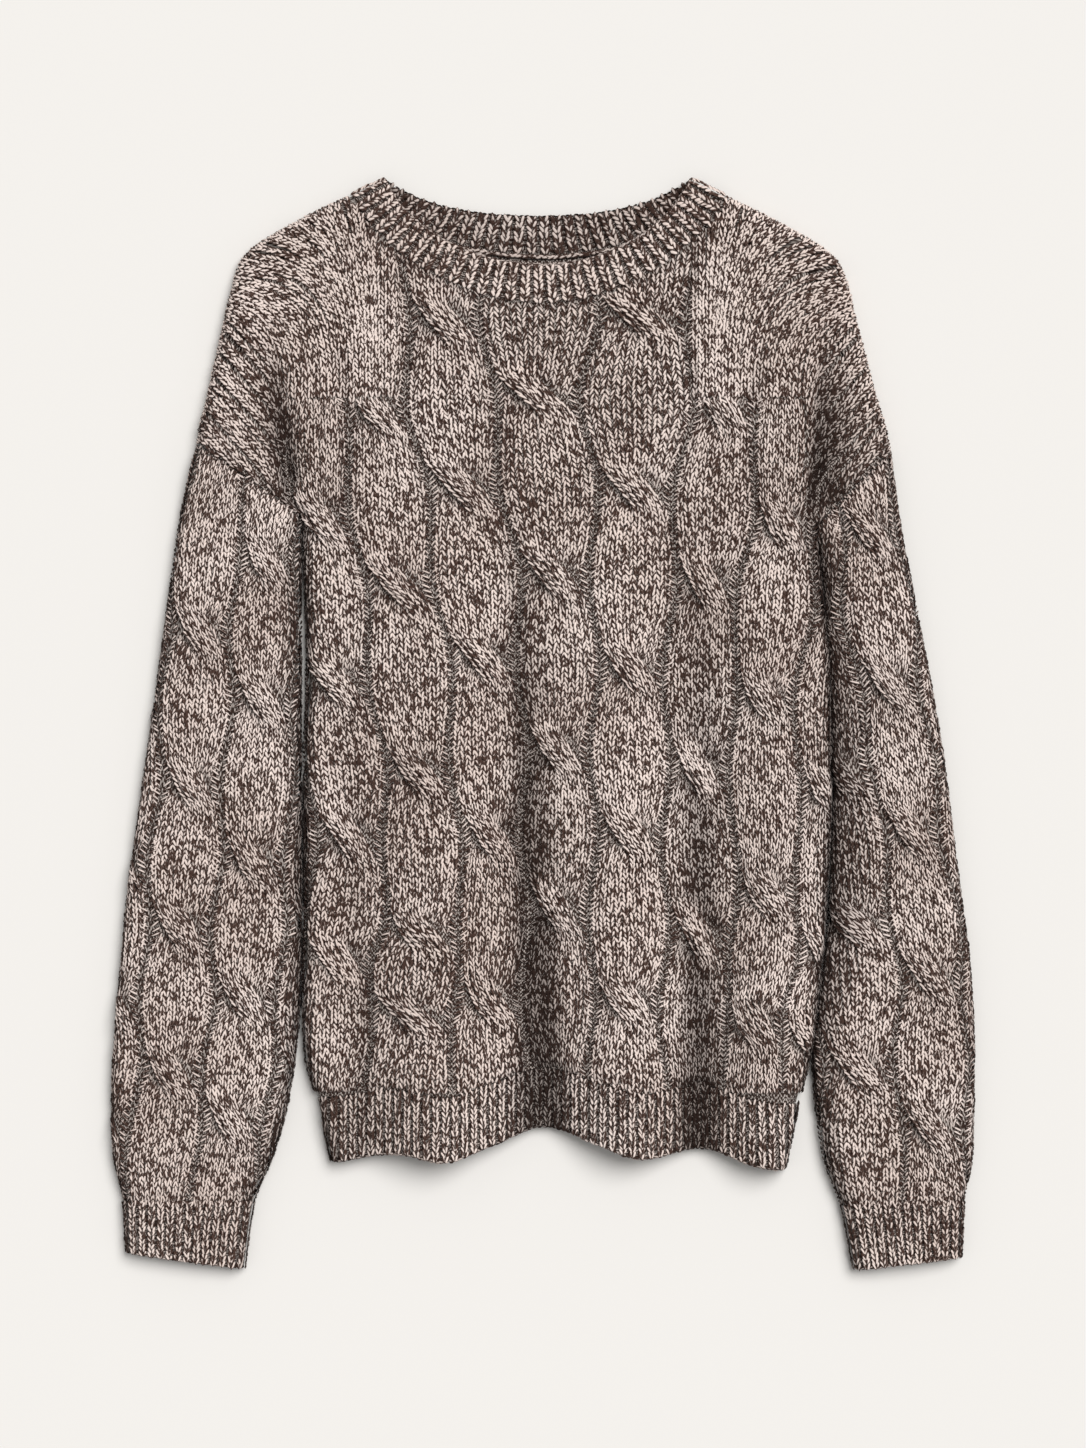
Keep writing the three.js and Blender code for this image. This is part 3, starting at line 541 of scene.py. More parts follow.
def front_raise(p, v, across):
    edge = body_inset(v, True, across)
    fade = ramp(v, HEM_SEAM, HEM_SEAM + 9) * (1 - ramp(v, NECK_SEAM - 9, NECK_SEAM))
    return front_relief.rise(p[..., 0], p[..., 1]) * fade * np.clip(edge / ROLL_CLOTH, 0, 1)


PLUMP_SIDE = 1.1    # how far the stitches at the sides of body and sleeves bulge to each other


def on_front(x, y, lift=0.0):
    """Raised points and normals of the front at places seen from above, with rows and lengths."""
    v, across = at_plan(x, y)
    p, n = surface_frame(front_point, v, across, 1)
    edge = body_inset(v, True, across)
    side = PLUMP_SIDE * (1 - ramp(edge, 0, 6)) * (1 - ramp(y, UNDERARM - 6, UNDERARM))
    rise = front_raise(p, v, across) + lift * ramp(edge, 2, 14) + side
    return p + n * rise[..., None], n, v, across


def in_front(v, across):
    """Whether a place is on the front's own cloth, inside its seams."""
    margin = np.where((v > UNDERARM) & (v < ARMHOLE_TOP), -0.5, ring["strip"](v) - 1)
    return (v > HEM_SEAM + 1) & (v < NECK_SEAM - 1) & (body_inset(v, True, across) > margin)


# The fan of the shoulders: outside the cables the wales lean over, from upright on the chest to
# nearly level at the tip of the shoulder, on the front and on the strip of the back above it.
MOST_LEAN = np.radians(82)


def shoulder_lean(x, y):
    out = np.abs(x)
    tip = ramp(out, 102, 190) * ramp(y, 214, 300)
    arm = 0.5 * ramp(out, 168, 186) * ramp(y, 140, 175)
    return -np.sign(x) * MOST_LEAN * np.maximum(tip, arm)


def corner(x, y):
    """Where the fan takes the place of the upright wales."""
    return (np.abs(x) > 98) & (y > 212) | (np.abs(x) > 172) & (y > 136)


YOKE_DROP = 3       # how much flatter the sweater lies at the neck
FOOT_BELOW, HEAD_ABOVE = 0.72, 0.78     # a leg's ends from the stitch's middle, in courses
FOOT_OUT, HEAD_OUT = 0.07, 0.45         # and in wales


def columns_of(parts):
    return [np.concatenate(column) for column in zip(*parts)]


class Legs:
    """Legs of yarn that wait to be joined into one mesh."""

    def __init__(self):
        self.parts = []

    def add(self, foot, head, normal, width, shade=1.0):
        self.parts.append((foot, head, normal, np.broadcast_to(width, len(foot)),
                           np.broadcast_to(shade, len(foot))))

    def stitches(self, point, up, normal, wale, course, width=None, shade=1.0):
        """The two legs of knit stitches, whose wales run up."""
        across = unit(np.cross(up, normal))
        width = np.clip(np.asarray(wale) * 0.48, 1.4, 2.2) if width is None else width
        wale, course = [np.broadcast_to(a, len(point))[:, None] for a in (wale, course)]
        for side in (-1, 1):
            foot = point - up * course * FOOT_BELOW + across * wale * FOOT_OUT * side
            head = point + up * course * HEAD_ABOVE + across * wale * HEAD_OUT * side
            self.add(foot, head, normal, width, shade)

    def halves(self):
        """The legs on the left and on the right of the middle."""
        columns = columns_of(self.parts)
        found = [Legs(), Legs()]
        for legs, side in zip(found, (columns[0][:, 0] < 0, columns[0][:, 0] >= 0)):
            legs.parts.append([column[side] for column in columns])
        return found

    def piece(self, name, deep, high):
        """The legs that don't lie under the sweater, as one mesh, and the heights between which painted
        shade darkens them.
        """
        foot, head, normal, width, shade = columns_of(self.parts)
        seen = (np.minimum(foot[:, 2], head[:, 2]) > 1.2) | (normal[:, 2] > -0.3)
        foot, head, normal, width, shade = [a[seen] for a in (foot, head, normal, width, shade)]
        foot, head = [ends + seed.normal(0, 0.3, ends.shape) for ends in (foot, head)]
        # Painted shade of the folds: lower legs get a darker colour. The flatter yoke counts as raised by
        # YOKE_DROP, so it is not painted darker. Each leg's own shade factor multiplies it.
        height = (foot[:, 2] + head[:, 2]) / 2 + YOKE_DROP * ramp(foot[:, 1], 190, 300)
        light = ramp(height, deep, high) * shade
        return yarn_legs(name, foot, head, normal, width, light)


def cloth_grid(frame_at, rows, first, last, columns):
    """A grid between two lengths across in every row: its rows, lengths, points and normals."""
    across = first + (last - first) * np.linspace(0, 1, columns)[None, :]
    rows = rows + 0 * across
    return rows, across, *frame_at(rows, across)


def knit_ground(name, points, across, courses, turned=False):
    """A grid of cloth that the knit is drawn on. Turned, it shows its other face."""
    uv = np.stack([across / WALE, courses], -1)
    if turned:
        points, uv = points[:, ::-1], uv[:, ::-1]
    rows, columns = points.shape[:2]
    index = np.arange(rows * columns).reshape(rows, columns)
    faces = np.stack([index[:-1, :-1], index[:-1, 1:], index[1:, 1:], index[1:, :-1]], -1).reshape(-1, 4)
    piece = new_mesh(name, points.reshape(-1, 3), faces, ground)
    add_uv(piece, "knit", uv.reshape(-1, 2), faces)
    return piece


def dress(shell, node, area, legs):
    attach(shell, "root")
    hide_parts(node)
    for piece in legs:
        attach(piece, "root")


def grid_area(points):
    a = points[1:, :-1] - points[:-1, :-1]
    b = points[:-1, 1:] - points[:-1, :-1]
    return float(np.linalg.norm(np.cross(a, b), axis=-1).sum())


def joined(lines):
    """The columns of many lines, each as one array, and where one line ends and the next begins."""
    stops = np.cumsum([len(line[0]) for line in lines])[:-1]
    return columns_of(lines), stops


def steps(points, stops):
    """The way from point to point along each of the lines."""
    return np.concatenate([np.gradient(line, axis=0) for line in np.split(points, stops)])


BAR_WIDTH = 1.55
BAR_REACH, FAN_REACH = 1.15, 1.3    # half a bar in half channels, and how much longer it fans out
BAR_UP, FAN_UP = 2.2, 0.8
BAR_OUT, FAN_OUT = 0.4, 1.2
# Painted shade: bars in the channel beside an oval are painted darker, and they get full light where they
# fan out beside a crossing.
BAR_SHADE, FAN_SHADE = 0.72, 0.28


def purl_bars(legs, p, n, up, fan, good):
    """The two halves of each purl bar, which fan out beside a crossing."""
    side = unit(np.cross(up, n))
    fan = fan[:, None]
    for half in (-1, 1):
        reach = side * half * CHANNEL * (BAR_REACH + FAN_REACH * fan)
        outer = p + reach + up * (BAR_UP + FAN_UP * fan) + n * (BAR_OUT + FAN_OUT * fan)
        inner = p + side * half * 0.4 - up * 0.9
        # each half with its painted shade
        legs.add(inner[good], outer[good], n[good], BAR_WIDTH,
                 (BAR_SHADE + FAN_SHADE * fan[:, 0])[good])


def shade_under(lift):
    """How much painted shade darkens the wales where they pass under a crossing."""
    return 1 + 0.22 * np.minimum(lift, 0)


BODY_PAINTED_SHADE = (9, 16)        # the heights over which painted shade darkens the yarn into a fold
SLEEVE_PAINTED_SHADE = (6, 13)
LONGEST = 8         # a longer step is a jump from one layer to the other
SIDE_REACH, SLEEVE_REACH = 15, 13       # how far under a side the stitches go on
front_legs, back_legs = Legs(), Legs()
(x, y, lift, wale, shows), stops = joined(front_relief.wales(HEM_SEAM + 2, 345))
p, n, v, across = on_front(x, y, lift)
step = steps(p, stops)
up, course = unit(step), np.linalg.norm(step, axis=1)
shows &= course < LONGEST
edge = body_inset(v, True, across)
under = (edge <= -1) & (edge > -SIDE_REACH) & (y < UNDERARM + 8) & (v > HEM_SEAM + 1)
above = shows & in_front(v, across) & ~corner(x, y)
for legs, good in ((front_legs, above), (back_legs, shows & under)):
    legs.stitches(p[good], up[good], n[good], wale[good], course[good], shade=shade_under(lift)[good])
covered = [np.stack([x, y], -1)[shows & ~corner(x, y)]]

(x, y, faded, fan), stops = joined(front_relief.bars(HEM_SEAM + 2, 345))
p, n, v, across = on_front(x, y, 0.5)
up = unit(steps(p, stops))
good = in_front(v, across) & ~corner(x, y)
covered.append(np.stack([x, y], -1)[good])
plain = good & (seed.random(len(p)) < faded)
edge = body_inset(v, True, across)
purl_bars(front_legs, p, n, up, fan * ramp(edge, 4, 14), good & ~plain)
front_legs.stitches(p[plain], up[plain], n[plain], 4.3, COURSE)


FILL_PITCH = 4.2


def fill(seeds, others):
    """Wales through the yoke, evenly apart, which follow the fan."""
    taken = np.full((6000, 2), 1e6)
    taken[:len(others)] = others
    used = len(others)
    lines, queue = [], list(seeds)
    while queue:
        start = np.array(queue.pop(0))
        if not inside_yoke(*start) or np.min(np.hypot(*(taken[:used] - start).T)) < FILL_PITCH * 0.8:
            continue
        line = [start]
        for way in (1, -1):
            spot, path = start, []
            for _ in range(60):
                angle = shoulder_lean(*spot)
                spot = spot + way * COURSE * np.array([-math.sin(angle), math.cos(angle)])
                away = np.min(np.hypot(*(taken[:used] - spot).T))
                if not inside_yoke(*spot) or away < FILL_PITCH * 0.5:
                    break
                path.append(spot)
            line = line + path if way == 1 else path[::-1] + line
        taken[used:used + len(line)] = line
        used += len(line)
        lines.append(np.array(line))
        for spot in line[::2]:
            angle = shoulder_lean(*spot)
            side = FILL_PITCH * np.array([math.cos(angle), math.sin(angle)])
            queue += [spot + side, spot - side]
    return lines


MAP_LEFT, MAP_BOTTOM, MAP_TOP, MAP_STEP = -240, 126, 366, 2.0
map_x, map_y = np.meshgrid(np.arange(MAP_LEFT, 241, MAP_STEP), np.arange(MAP_BOTTOM, MAP_TOP, MAP_STEP))
map_v, map_across = at_plan(map_x, map_y)
miss = np.linalg.norm(front_point(map_v, map_across)[..., :2] - np.stack([map_x, map_y], -1), axis=-1)
map_edge = body_inset(map_v, True, map_across)
in_yoke = (miss < 0.6) & (map_v < NECK_SEAM - 1) & (map_edge > np.where(map_v < ARMHOLE_TOP, 0.8, 5))
in_yoke &= corner(map_x, map_y + 4)


def inside_yoke(x, y):
    i, j = int(round((y - MAP_BOTTOM) / MAP_STEP)), int(round((x - MAP_LEFT) / MAP_STEP))
    return 0 <= i < in_yoke.shape[0] and 0 <= j < in_yoke.shape[1] and in_yoke[i, j]


covered = np.concatenate(covered)
covered = covered[(np.abs(covered[:, 0]) > 85) & (covered[:, 1] > 130)]
for side in (-1, 1):
    near = covered[np.sign(covered[:, 0]) == side]
    starts = [(side * (100 + FILL_PITCH * i), 216.0) for i in range(28)]
    starts += [(side * (174 + FILL_PITCH * i), 170.0) for i in range(12)]
    for line in fill(starts, near):
        if len(line) < 2:
            continue
        p, n, v, across = on_front(line[:, 0], line[:, 1])
        up = unit(np.gradient(p, axis=0))
        strip = ~in_front(v, across)
        front_legs.stitches(p[~strip], up[~strip], n[~strip], WALE, COURSE)
        back_legs.stitches(p[strip], up[strip], n[strip], WALE, COURSE)

# The same cloth where it comes over the outline of the shoulders and goes under
for side, sign in (("left", 1), ("right", -1)):
    v = np.linspace(ARMHOLE_TOP + 1, NECK_SEAM - 1, 400)
    ex, ey, _ = body_edge(v, side)
    length = np.concatenate([[0], np.cumsum(np.hypot(np.diff(ex), np.diff(ey)))])
    for row in np.interp(np.arange(1, length[-1], WALE), length, v):
        c = np.arange(5, -14, -COURSE)
        half = body_half(row, True, side)
        rows = np.full(len(c), row)
        p, n = surface_frame(front_point, rows, sign * (c - half))
        up = unit(np.gradient(p, axis=0))
        back_legs.stitches(p, up, n, WALE, COURSE)

rows = np.linspace(HEM_SEAM + 0.4, NECK_SEAM + 1.5, 174)[:, None]
first = ring["strip"](rows) + 0.5 - body_half(rows, True, "left")
last = body_half(rows, True, "right") - ring["strip"](rows) - 0.5
rows, across, p, n = cloth_grid(body_frame(True), rows, first, last, 130)
p = p + n * (front_raise(p, rows, across) - 0.5)[..., None]
front_shell = knit_ground("front_panel_cloth", p, across, rows / COURSE)
front_area = grid_area(p)

rows = np.linspace(HEM_SEAM + 0.4, NECK_SEAM + 0.3, 131)[:, None]
first = -ring["strip"](rows) + 0.5 - body_half(rows, False, "left")
last = body_half(rows, False, "right") + ring["strip"](rows) - 0.5
rows, across, p, n = cloth_grid(body_frame(False), rows, first, last, 120)
p = p - n * 0.5
back_shell = knit_ground("back_panel_cloth", p, across, rows / COURSE, True)
back_area = grid_area(p)

# The wrong side of the back panel, which shows in the neck
INNER_FACE = 2.2
LOOP_PITCH = 3.6
for row in np.arange(236, NECK_SEAM - 2, COURSE):
    half = body_half(row, False, "left") - 26
    across = np.arange(-half, half, LOOP_PITCH)
    p, n = surface_frame(back_point, np.full(len(across), row), across)
    p, way = p + n * INNER_FACE, np.gradient(p, axis=0)
    up = unit(np.cross(n, way))
    # with painted shade, at 0.8 of full light, where it lies under the front of the neckband
    back_legs.add(p - unit(way) * 1.7, p + up * 1.2, n, 1.9, 0.8)
    back_legs.add(p + up * 1.2, p + unit(way) * 1.7, n, 1.9, 0.8)
rows = np.linspace(225, NECK_SEAM, 22)[:, None]
half = body_half(rows, False, "left") - 24
rows, across, p, n = cloth_grid(body_frame(False), rows, -half, half, 100)
inside = knit_ground("back_panel_inside", p - n * INNER_FACE, across, rows / COURSE)
dress(back_shell, "back_panel", back_area * 0.98,
      [inside, back_legs.piece("back_panel_stitches", -8, 10)])
dress(front_shell, "front_panel", front_area * 0.98,
      [legs.piece(f"front_panel_stitches_{side}", *BODY_PAINTED_SHADE)
       for side, legs in zip(("right", "left"), front_legs.halves())])

# The hem: a 1x1 rib along the lower edge of the front and the back, finished with a bound edge.
# Its knit wales stand up as cords and the purl between them sinks in. The neckband and cuffs are
# made the same way.
RIB_PITCH = 6.1
RIB_RISE = 1.2
RIB_WALL = 2.6      # thickness of a rib's cloth, which shows where it ends
CHAIN_PITCH = 3.05  # a stitch of the bound edge


def folded_cloth(name, outer, inner, close):
    """A strip of cloth with both its faces. Rows run from the seam to the edge; it may be a ring."""
    points = np.concatenate([outer, inner[::-1]])
    rows, columns = points.shape[:2]
    i, j = np.meshgrid(np.arange(rows), np.arange(columns if close else columns - 1), indexing="ij")
    down = np.stack([i, i, i + 1, i + 1], -1).reshape(-1, 4)
    along = np.stack([j, j + 1, j + 1, j], -1).reshape(-1, 4)
    if not close:
        i = np.arange(rows // 2 - 1)
        end = np.stack([i, i + 1, rows - 2 - i, rows - 1 - i], -1)
        down = np.concatenate([down, end, end[:, ::-1]])
        along = np.concatenate([along, 0 * end, 0 * end + columns - 1])
    faces = down % rows * columns + along % columns
    piece = new_mesh(name, points.reshape(-1, 3), faces, ground)
    layer = piece.data.uv_layers.new(name="knit")
    layer.data.foreach_set("uv", (np.stack([along, down], -1) * 0.5).astype(np.float32).ravel())
    return piece


def rib_rise(along, pitch):
    return RIB_RISE * (0.5 - 0.5 * np.cos(2 * np.pi * along / pitch))


def rib_wales(legs, frame_at, rows, places, pitch, turn=1, shows=None, painted_shade_ends=False):
    """Knit wales halfway between the places' multiples of a pitch, and purl bars between them."""
    for place in places:
        for purl in (False, True):
            across = np.full(len(rows), place * pitch + (0 if purl else pitch / 2))
            p, n = frame_at(rows, across)
            up = unit(np.gradient(p, axis=0)) * turn
            good = np.ones(len(rows), bool) if shows is None else shows(rows, across)
            course = np.linalg.norm(np.gradient(p, axis=0), axis=1)
            p, n, up, course = p[good], n[good], up[good], course[good]
            from_end = min(place - places[0], places[-1] - place) * pitch
            # Painted shade: wales near the ends of the band are darker, where it turns at the shoulder
            # points
            shade = 0.45 + 0.55 * float(ramp(from_end, 4, 34)) if painted_shade_ends else 1.0
            if purl:
                side = unit(np.cross(up, n)) * pitch * 0.3
                # The sunken purl between the cords gets painted shade, at 0.35 of full light
                legs.add(p - side - up * 0.3 - n * 0.6, p + side + up * 0.3 - n * 0.6, n, 1.7, 0.35 * shade)
            else:
                legs.stitches(p + n * RIB_RISE, up, n, pitch * 0.78, course, 2.0 * pitch / RIB_PITCH, shade)


def bound_edge(legs, points, normals, out):
    """A chain of stitches along an edge: one leg of each on top, and one on the end."""
    way, out = np.gradient(points, axis=0), np.array(out) + 0 * points
    for tilt, drop in ((0.35, 0.1), (1.6, 1.3)):
        n = unit(normals + out * tilt)
        p = points + out * 0.5 - normals * drop
        # The chain is painted darker than the cords, at 0.6 of full light: painted shade
        legs.add(p - way * 0.7 - out * 0.5 * (1 - drop), p + way * 0.6 + out * 0.3, n, 1.9, 0.6)


HEM_WALES = range(-24, 28)
hem_rows = np.arange(HEM_EDGE + 1.5, HEM_SEAM + 1, COURSE)
for front, node in ((False, "back_hem_rib"), (True, "front_hem_rib")):
    legs = Legs()
    frame_at = body_frame(front)

    def shows(v, across):
        edge = body_inset(v, front, across)
        return edge > -1 if front else edge < 11
    rib_wales(legs, frame_at, hem_rows, HEM_WALES, RIB_PITCH, 1, shows)
    rows = np.linspace(HEM_SEAM - 0.4, HEM_EDGE, 14)[:, None]
    left, right = body_half(rows, front, "left"), body_half(rows, front, "right")
    rows, across, p, n = cloth_grid(frame_at, rows, 0.5 - left, right - 0.5, 320)
    width = grid_area(p) / (HEM_SEAM - HEM_EDGE)
    outer = p + n * (rib_rise(across, RIB_PITCH) - 0.5)[..., None]
    inner = p - n * RIB_WALL
    if front:
        outer, inner = outer[:, ::-1], inner[:, ::-1]
    shell = folded_cloth(node + "_cloth", outer, inner, False)
    edge_across = np.arange(-float(left[-1, 0]), float(right[-1, 0]), CHAIN_PITCH)
    p, n = frame_at(np.full(len(edge_across), HEM_EDGE + 0.3), edge_across)
    bound_edge(legs, p, n, (0, -1, 0))
    dress(shell, node, width * 40.5,
          [legs.piece(node + "_stitches", *BODY_PAINTED_SHADE)])

# The sleeves: tubes with two cables down the front of each. They lie flat beside the body, and the
# inner side of the left one rolls further under. Each ends in a narrower ribbed cuff.
sleeves = dict(
    right=dict(
        sense=1,
        outer_x=[-227, -237, -245, -254, -264, -273, -279, -283, -282, -275, -273],
        outer_y=[184, 141, 88, 22, -50, -116, -182, -240, -282, -315, -347],
        inner_x=[-159, -161, -161, -161, -161, -161, -162, -168, -179, -192, -198],
        inner_y=[137, 108, 68, 12, -57, -120, -182, -240, -282, -315, -357],
        inner_roll=[8] * 11,
        cables=[([-108] * 4, [61, -39, -133, -229]), ([-64] * 5, [107, 17, -90, -180, -260]),
                ([-20, -19, -21, -19], [61, -39, -133, -229]),
                ([18, 23, 25, 25, 23], [107, 17, -90, -180, -260]),
                ([64, 67, 69, 68], [61, -39, -133, -229]), ([112] * 5, [107, 17, -90, -180, -260])]),
    left=dict(
        sense=-1,
        outer_x=[228, 235, 244, 253, 264, 273, 280, 283, 282, 276, 274],
        outer_y=[179, 128, 82, 35, -31, -103, -156, -216, -282, -315, -350],
        inner_x=[180, 186, 189, 191, 193, 191, 187, 179, 186, 198, 206],
        inner_y=[130, 98, 55, 16, -44, -110, -156, -216, -282, -317, -358],
        inner_roll=[8, 14, 20, 24, 24, 24, 20, 14, 10, 8, 8],
        cables=[([-112] * 4, [70, -30, -130, -227]), ([-76] * 5, [127, 26, -71, -167, -266]),
                ([-38, -29, -29, -21], [70, -30, -130, -227]),
                ([6, 4, 12, 25, 22], [127, 26, -71, -167, -266]),
                ([49, 48, 56, 68], [70, -30, -130, -227]), ([95] * 5, [127, 26, -71, -167, -266])]))
CUFF_SEAM, CUFF_EDGE = 9, 10
SLEEVE_START, SLEEVE_END = -0.03, CUFF_SEAM + 0.01      # its cloth reaches into both seams
SLEEVE_LOW, SLEEVE_HIGH = -318, 190     # the wales are laid out between these
SLEEVE_HEIGHT, CUFF_HEIGHT = 12.5, 11.0
SLEEVE_CROWN = 2    # the middle of a sleeve over its sides


class Sleeve:
    def __init__(self, sense, cables, **columns):
        self.sense = sense
        self.relief = Cables(cables)
        for name, column in columns.items():
            setattr(self, name, track(range(11), column))

    def span(self, v):
        return np.hypot(self.inner_x(v) - self.outer_x(v), self.inner_y(v) - self.outer_y(v))

    def total(self, v):
        inner = self.inner_roll(v)
        return self.span(v) + ROLL_CLOTH - ROLL + roll_cloth(inner) - inner

    def point(self, v, cloth):
        """A point at a ring and a length of cloth from the outer edge; past an edge it goes under."""
        length, span = self.total(v), self.span(v)
        under = (cloth < 0) | (cloth > length)
        cloth = np.where(cloth < 0, -cloth, np.where(cloth > length, 2 * length - cloth, cloth))
        from_outer = cloth < length / 2
        reach = np.where(from_outer, ROLL, self.inner_roll(v))
        inset, turned = roll(np.where(from_outer, cloth, length - cloth), reach, 0 * reach)
        share = np.where(from_outer, inset / span, 1 - inset / span)
        x = self.outer_x(v) + (self.inner_x(v) - self.outer_x(v)) * share
        y = self.outer_y(v) + (self.inner_y(v) - self.outer_y(v)) * share
        top = SLEEVE_HEIGHT - (SLEEVE_HEIGHT - CUFF_HEIGHT) * ramp(v, CUFF_SEAM - 2, CUFF_SEAM)
        top = top + SLEEVE_CROWN * np.sin(np.pi * share) * ramp(v, 0, 2)
        z = np.where(under, FOLD_HEIGHT * (1 - turned), FOLD_HEIGHT + (top - FOLD_HEIGHT) * turned)
        return np.stack([x, y, z], -1)

    def front(self, v, across):
        """The same from the middle of the front, with lengths to +X."""
        return self.point(v, self.total(v) / 2 + self.sense * across)

    def frame(self, v, across):
        return surface_frame(self.front, v, across, -0.01)

    def ring_at(self, y, across):
        low, high = np.full(np.shape(y), -0.5), np.full(np.shape(y), CUFF_EDGE + 0.5)
        for _ in range(18):
            middle = (low + high) / 2
            above = self.front(middle, across)[..., 1] > y
            low, high = np.where(above, middle, low), np.where(above, high, middle)
        return (low + high) / 2

    def cable_rise(self, v, across, y):
        """The relief of the cables, which dies out at the seams and round the sides."""
        edge = self.total(v) / 2 - np.abs(across)
        fade = ramp(np.minimum(v, CUFF_SEAM - v), 0, 0.3) * np.clip(edge / ROLL_CLOTH, 0, 1)
        return self.relief.rise(across, y) * fade

    def raised(self, y, across, lift):
        """Raised points and normals, with rings, the lengths to an edge, and what shows."""
        v = self.ring_at(y, across)
        p, n = self.frame(v, across)
        edge = self.total(v) / 2 - np.abs(across)
        side = PLUMP_SIDE * (1 - ramp(self.total(v) / 2 - self.sense * across, 0, 6))
        rise = self.cable_rise(v, across, y) + lift * ramp(edge, 2, 14) + side
        shows = (v > SLEEVE_START) & (v < SLEEVE_END) & (edge > -SLEEVE_REACH)
        return p + n * rise[..., None], n, v, edge, shows


for side, table in sleeves.items():
    sleeve = Sleeve(**table)
    legs = Legs()
    (across, y, lift, wale, shows), stops = joined(sleeve.relief.wales(SLEEVE_LOW, SLEEVE_HIGH))
    p, n, v, edge, good = sleeve.raised(y, across, lift)
    step = steps(p, stops)
    course = np.linalg.norm(step, axis=1)
    good &= shows & (course < LONGEST)
    inner = sleeve.total(v) / 2 - sleeve.sense * across
    # Painted shade: darker towards the inner edge, where the sleeve rolls down under the body, and where
    # wales pass under a crossing
    shade = (0.2 + 0.8 * ramp(inner, 1, 8 + 1.2 * sleeve.inner_roll(v))) * shade_under(lift)
    # Painted shade in the crease of the armhole seam
    shade *= 0.6 + 0.4 * ramp(v, 0, 0.1)
    legs.stitches(p[good], unit(step)[good], n[good], wale[good], course[good], shade=shade[good])
    (across, y, faded, fan), stops = joined(sleeve.relief.bars(SLEEVE_LOW, SLEEVE_HIGH))
    p, n, v, edge, good = sleeve.raised(y, across, 0.5)
    purl_bars(legs, p, n, unit(steps(p, stops)), fan * ramp(edge, 4, 14), good)
    rows = np.linspace(SLEEVE_START, SLEEVE_END, 150)[:, None]
    cloth = 2 * sleeve.total(rows) * np.linspace(0, 1, 90)[None, :]
    across = sleeve.sense * (cloth - sleeve.total(rows) / 2)
    rows = rows + 0 * across
    p, n = sleeve.frame(rows, across)
    p = p + n * (sleeve.cable_rise(rows, across, p[..., 1]) - 0.5)[..., None]
    shell = knit_ground(f"{side}_sleeve_cloth", p, across, -rows * 11, sleeve.sense > 0)
    dress(shell, f"{side}_sleeve", grid_area(p) * 0.98,
          [legs.piece(f"{side}_sleeve_stitches", *SLEEVE_PAINTED_SHADE)])

    # Its cuff, ribbed like the hem
    legs = Legs()
    length = float(sleeve.total(CUFF_SEAM + 0.5))
    count = round(2 * length / RIB_PITCH)

    def cuff_frame(v, cloth):
        whole = 2 * sleeve.total(v) * cloth / (count * RIB_PITCH)
        return sleeve.frame(v, sleeve.sense * (whole - sleeve.total(v) / 2))

    def cuff_shows(v, cloth):
        whole = cloth / (count * RIB_PITCH) * 2
        return (whole < 1.15) | (whole > 1.85)
    rows = np.arange(CUFF_SEAM + 0.02, CUFF_EDGE - 0.02, 0.08)
    rib_wales(legs, cuff_frame, rows, range(count), RIB_PITCH, -1, cuff_shows)
    rows = np.linspace(CUFF_SEAM + 0.02, CUFF_EDGE, 14)[:, None]
    cloth = count * RIB_PITCH * np.arange(count * 6)[None, :] / (count * 6)
    rows, cloth = rows + 0 * cloth, cloth + 0 * rows
    p, n = cuff_frame(rows, cloth)
    outer = p + n * (rib_rise(cloth, RIB_PITCH) - 0.5)[..., None]
    inner = p - n * RIB_WALL
    if sleeve.sense < 0:
        outer, inner = outer[:, ::-1], inner[:, ::-1]
    shell = folded_cloth(f"{side}_cuff_cloth", outer, inner, True)
    chain = np.arange(0, count * RIB_PITCH, CHAIN_PITCH)
    p, n = cuff_frame(np.full(len(chain), CUFF_EDGE - 0.01), chain)
    bound_edge(legs, p, n, (0, -1, 0))
    dress(shell, f"{side}_cuff", grid_area(outer) * 0.98,
          [legs.piece(f"{side}_cuff_stitches", *SLEEVE_PAINTED_SHADE)])

# The neckband: a wider rib, picked up round the neck. Its front lies on top, and the inside of its
# back shows behind, with the chain of stitches that links it to the back panel.
NECK_PITCH = 8.6
legs = Legs()
outers, inners = [], []
for front in (True, False):
    frame_at = body_frame(front)
    sign = 1 if front else -1
    count = round(float(body_cloth(NECK_SEAM + 12, front)) / NECK_PITCH)

    def neck_frame(v, cloth):
        whole = body_cloth(v, front) * cloth / (count * NECK_PITCH)
        return frame_at(v, whole - body_half(v, front, "left"))

    def neck_inside(v, cloth):
        p, n = neck_frame(v, cloth)
        return p - n * RIB_WALL, -n
    rows = np.arange(NECK_SEAM + (1.5 if front else 5), NECK_EDGE - 0.5, 3.0)
    rib_wales(legs, neck_frame if front else neck_inside, rows, range(count), NECK_PITCH, 1,
              painted_shade_ends=not front)
    rows = np.linspace(NECK_SEAM + 0.4, NECK_EDGE, 12)[:, None]
    cloth = count * NECK_PITCH * np.arange(count * 8)[None, :] / (count * 8)
    if not front:
        cloth = count * NECK_PITCH - cloth
    rows, cloth = rows + 0 * cloth, cloth + 0 * rows
    p, n = neck_frame(rows, cloth)
    rise = rib_rise(cloth, NECK_PITCH)[..., None]
    outers.append(p + n * (rise - 0.5))
    inners.append(p - n * (RIB_WALL + rise - 0.5))
    chain = np.arange(0, count * NECK_PITCH, 3.3)
    p, n = neck_frame(np.full(len(chain), NECK_EDGE - 0.2), chain)
    bound_edge(legs, p, n, (0, 1, 0))
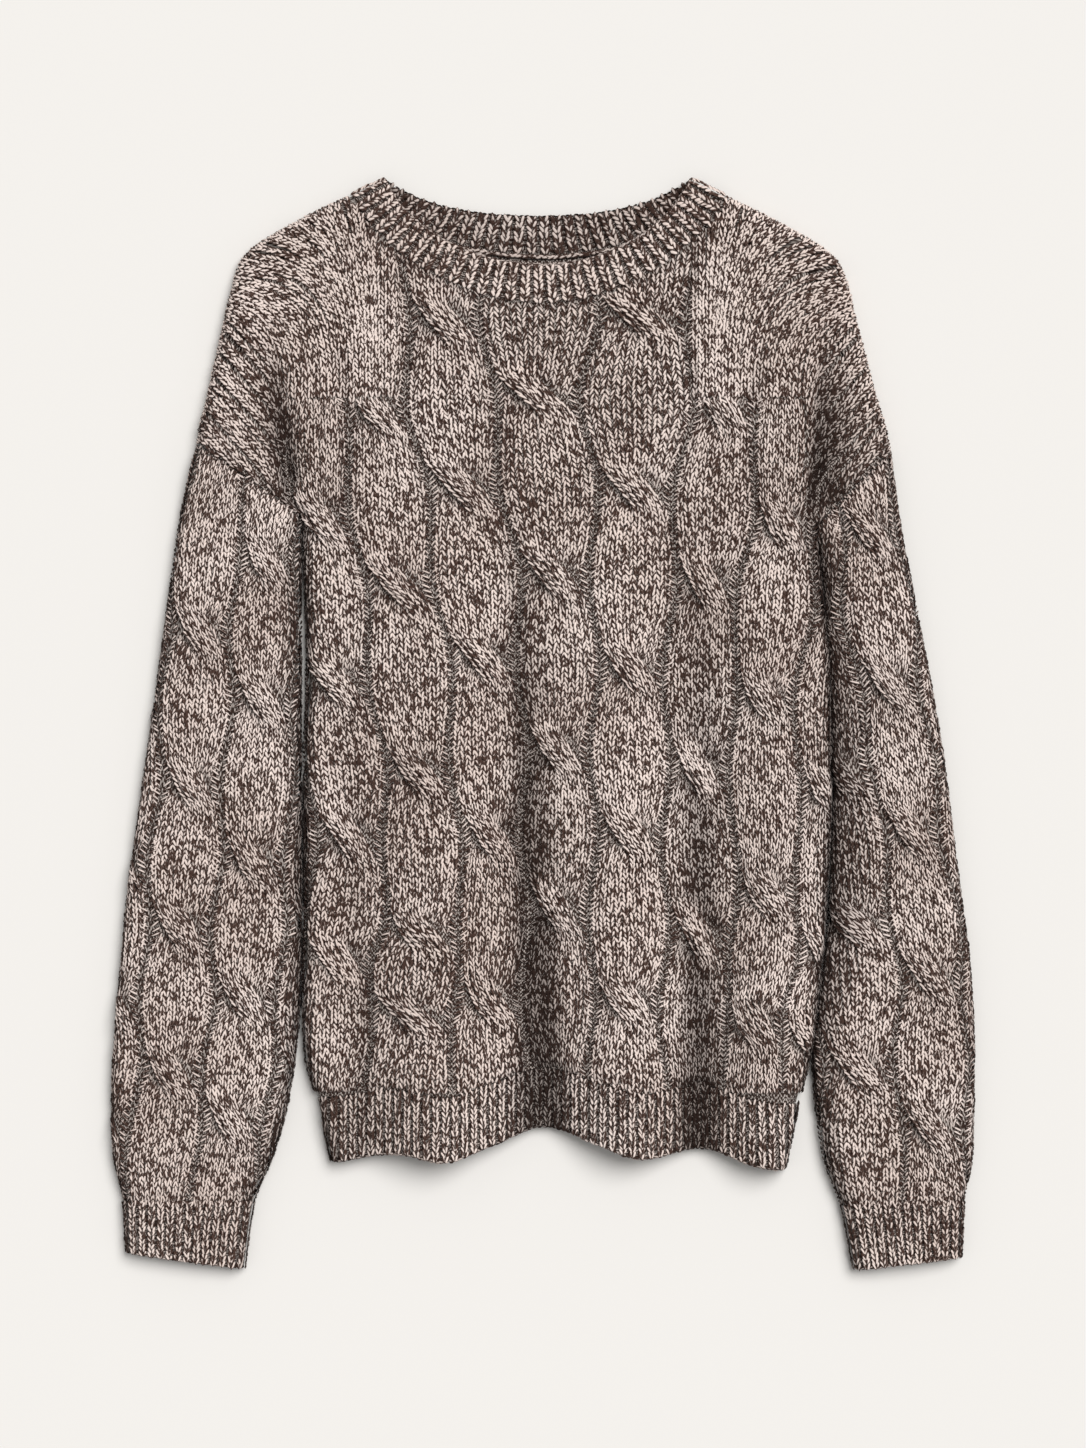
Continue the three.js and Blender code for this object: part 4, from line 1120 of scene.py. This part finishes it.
# The heights over which painted shade darkens the neckband's yarn
NECK_PAINTED_SHADE = (-4, 13)
LINK_ROW = NECK_SEAM + 1.5
link = np.arange(12, float(body_cloth(LINK_ROW, False)) - 12, 4.0)
p, n = surface_frame(back_point, LINK_ROW, link - body_half(LINK_ROW, False, "left"))
way, p = np.gradient(p, axis=0), p + n * (INNER_FACE + 1.6)
up = unit(np.cross(n, way))
legs.add(p - way * 0.6 - up * 0.7, p + way * 0.6 + up * 0.5, n, 2.6)
legs.add(p - way * 0.1 + up * 1.2, p + way * 0.9 - up * 0.2, n, 2.2)
outer, inner = np.concatenate(outers, 1), np.concatenate(inners, 1)
shell = folded_cloth("neckband_cloth", outer[:, ::-1], inner[:, ::-1], True)
dress(shell, "neckband", grid_area(outer) * 0.98,
      [legs.piece("neckband_stitches", *NECK_PAINTED_SHADE)])

# The sweater lies on a plain pale floor, under soft studio light from above the viewer's right. The
# camera looks straight down on it, from as far as a long lens needs to take it all in.
FLOOR_REACH = 3.0
FLOOR_PAINT = (0.86, 0.835, 0.80, 1)
CAMERA_HEIGHT, LENS, SENSOR = 2.39, 90, 36
SUN, SUN_ANGLE, SUN_WAY = 2.58, 40, (-0.34, -0.40, -0.85)
ROOM_LIGHT = 0.36
corners = [(x * FLOOR_REACH, y * FLOOR_REACH, 0) for x, y in ((-1, -1), (1, -1), (1, 1), (-1, 1))]
floor = bpy.data.meshes.new("floor")
floor.from_pydata(corners, [], [(0, 1, 2, 3)])
floor_piece = bpy.data.objects.new("floor", floor)
bpy.context.scene.collection.objects.link(floor_piece)
paint, skin = wool("floor paint")
skin.inputs["Base Color"].default_value = FLOOR_PAINT
floor.materials.append(paint)

camera = bpy.data.objects.new("camera", bpy.data.cameras.new("camera"))
camera.data.lens = LENS
camera.data.sensor_width = SENSOR
camera.location = (0, 0, CAMERA_HEIGHT)
bpy.context.scene.collection.objects.link(camera)
bpy.context.scene.camera = camera
light = bpy.data.objects.new("key", bpy.data.lights.new("key", "SUN"))
light.data.energy = SUN
light.data.angle = math.radians(SUN_ANGLE)
light.rotation_euler = Vector(SUN_WAY).to_track_quat("-Z", "Y").to_euler()
bpy.context.scene.collection.objects.link(light)
world = bpy.data.worlds.new("room")
bpy.context.scene.world = world
world.use_nodes = True
room = world.node_tree.nodes["Background"]
room.inputs[0].default_value = (1, 1, 1, 1)
room.inputs[1].default_value = ROOM_LIGHT
# Standard keeps the yarn's and the floor's own colours
bpy.context.scene.view_settings.view_transform = "Standard"
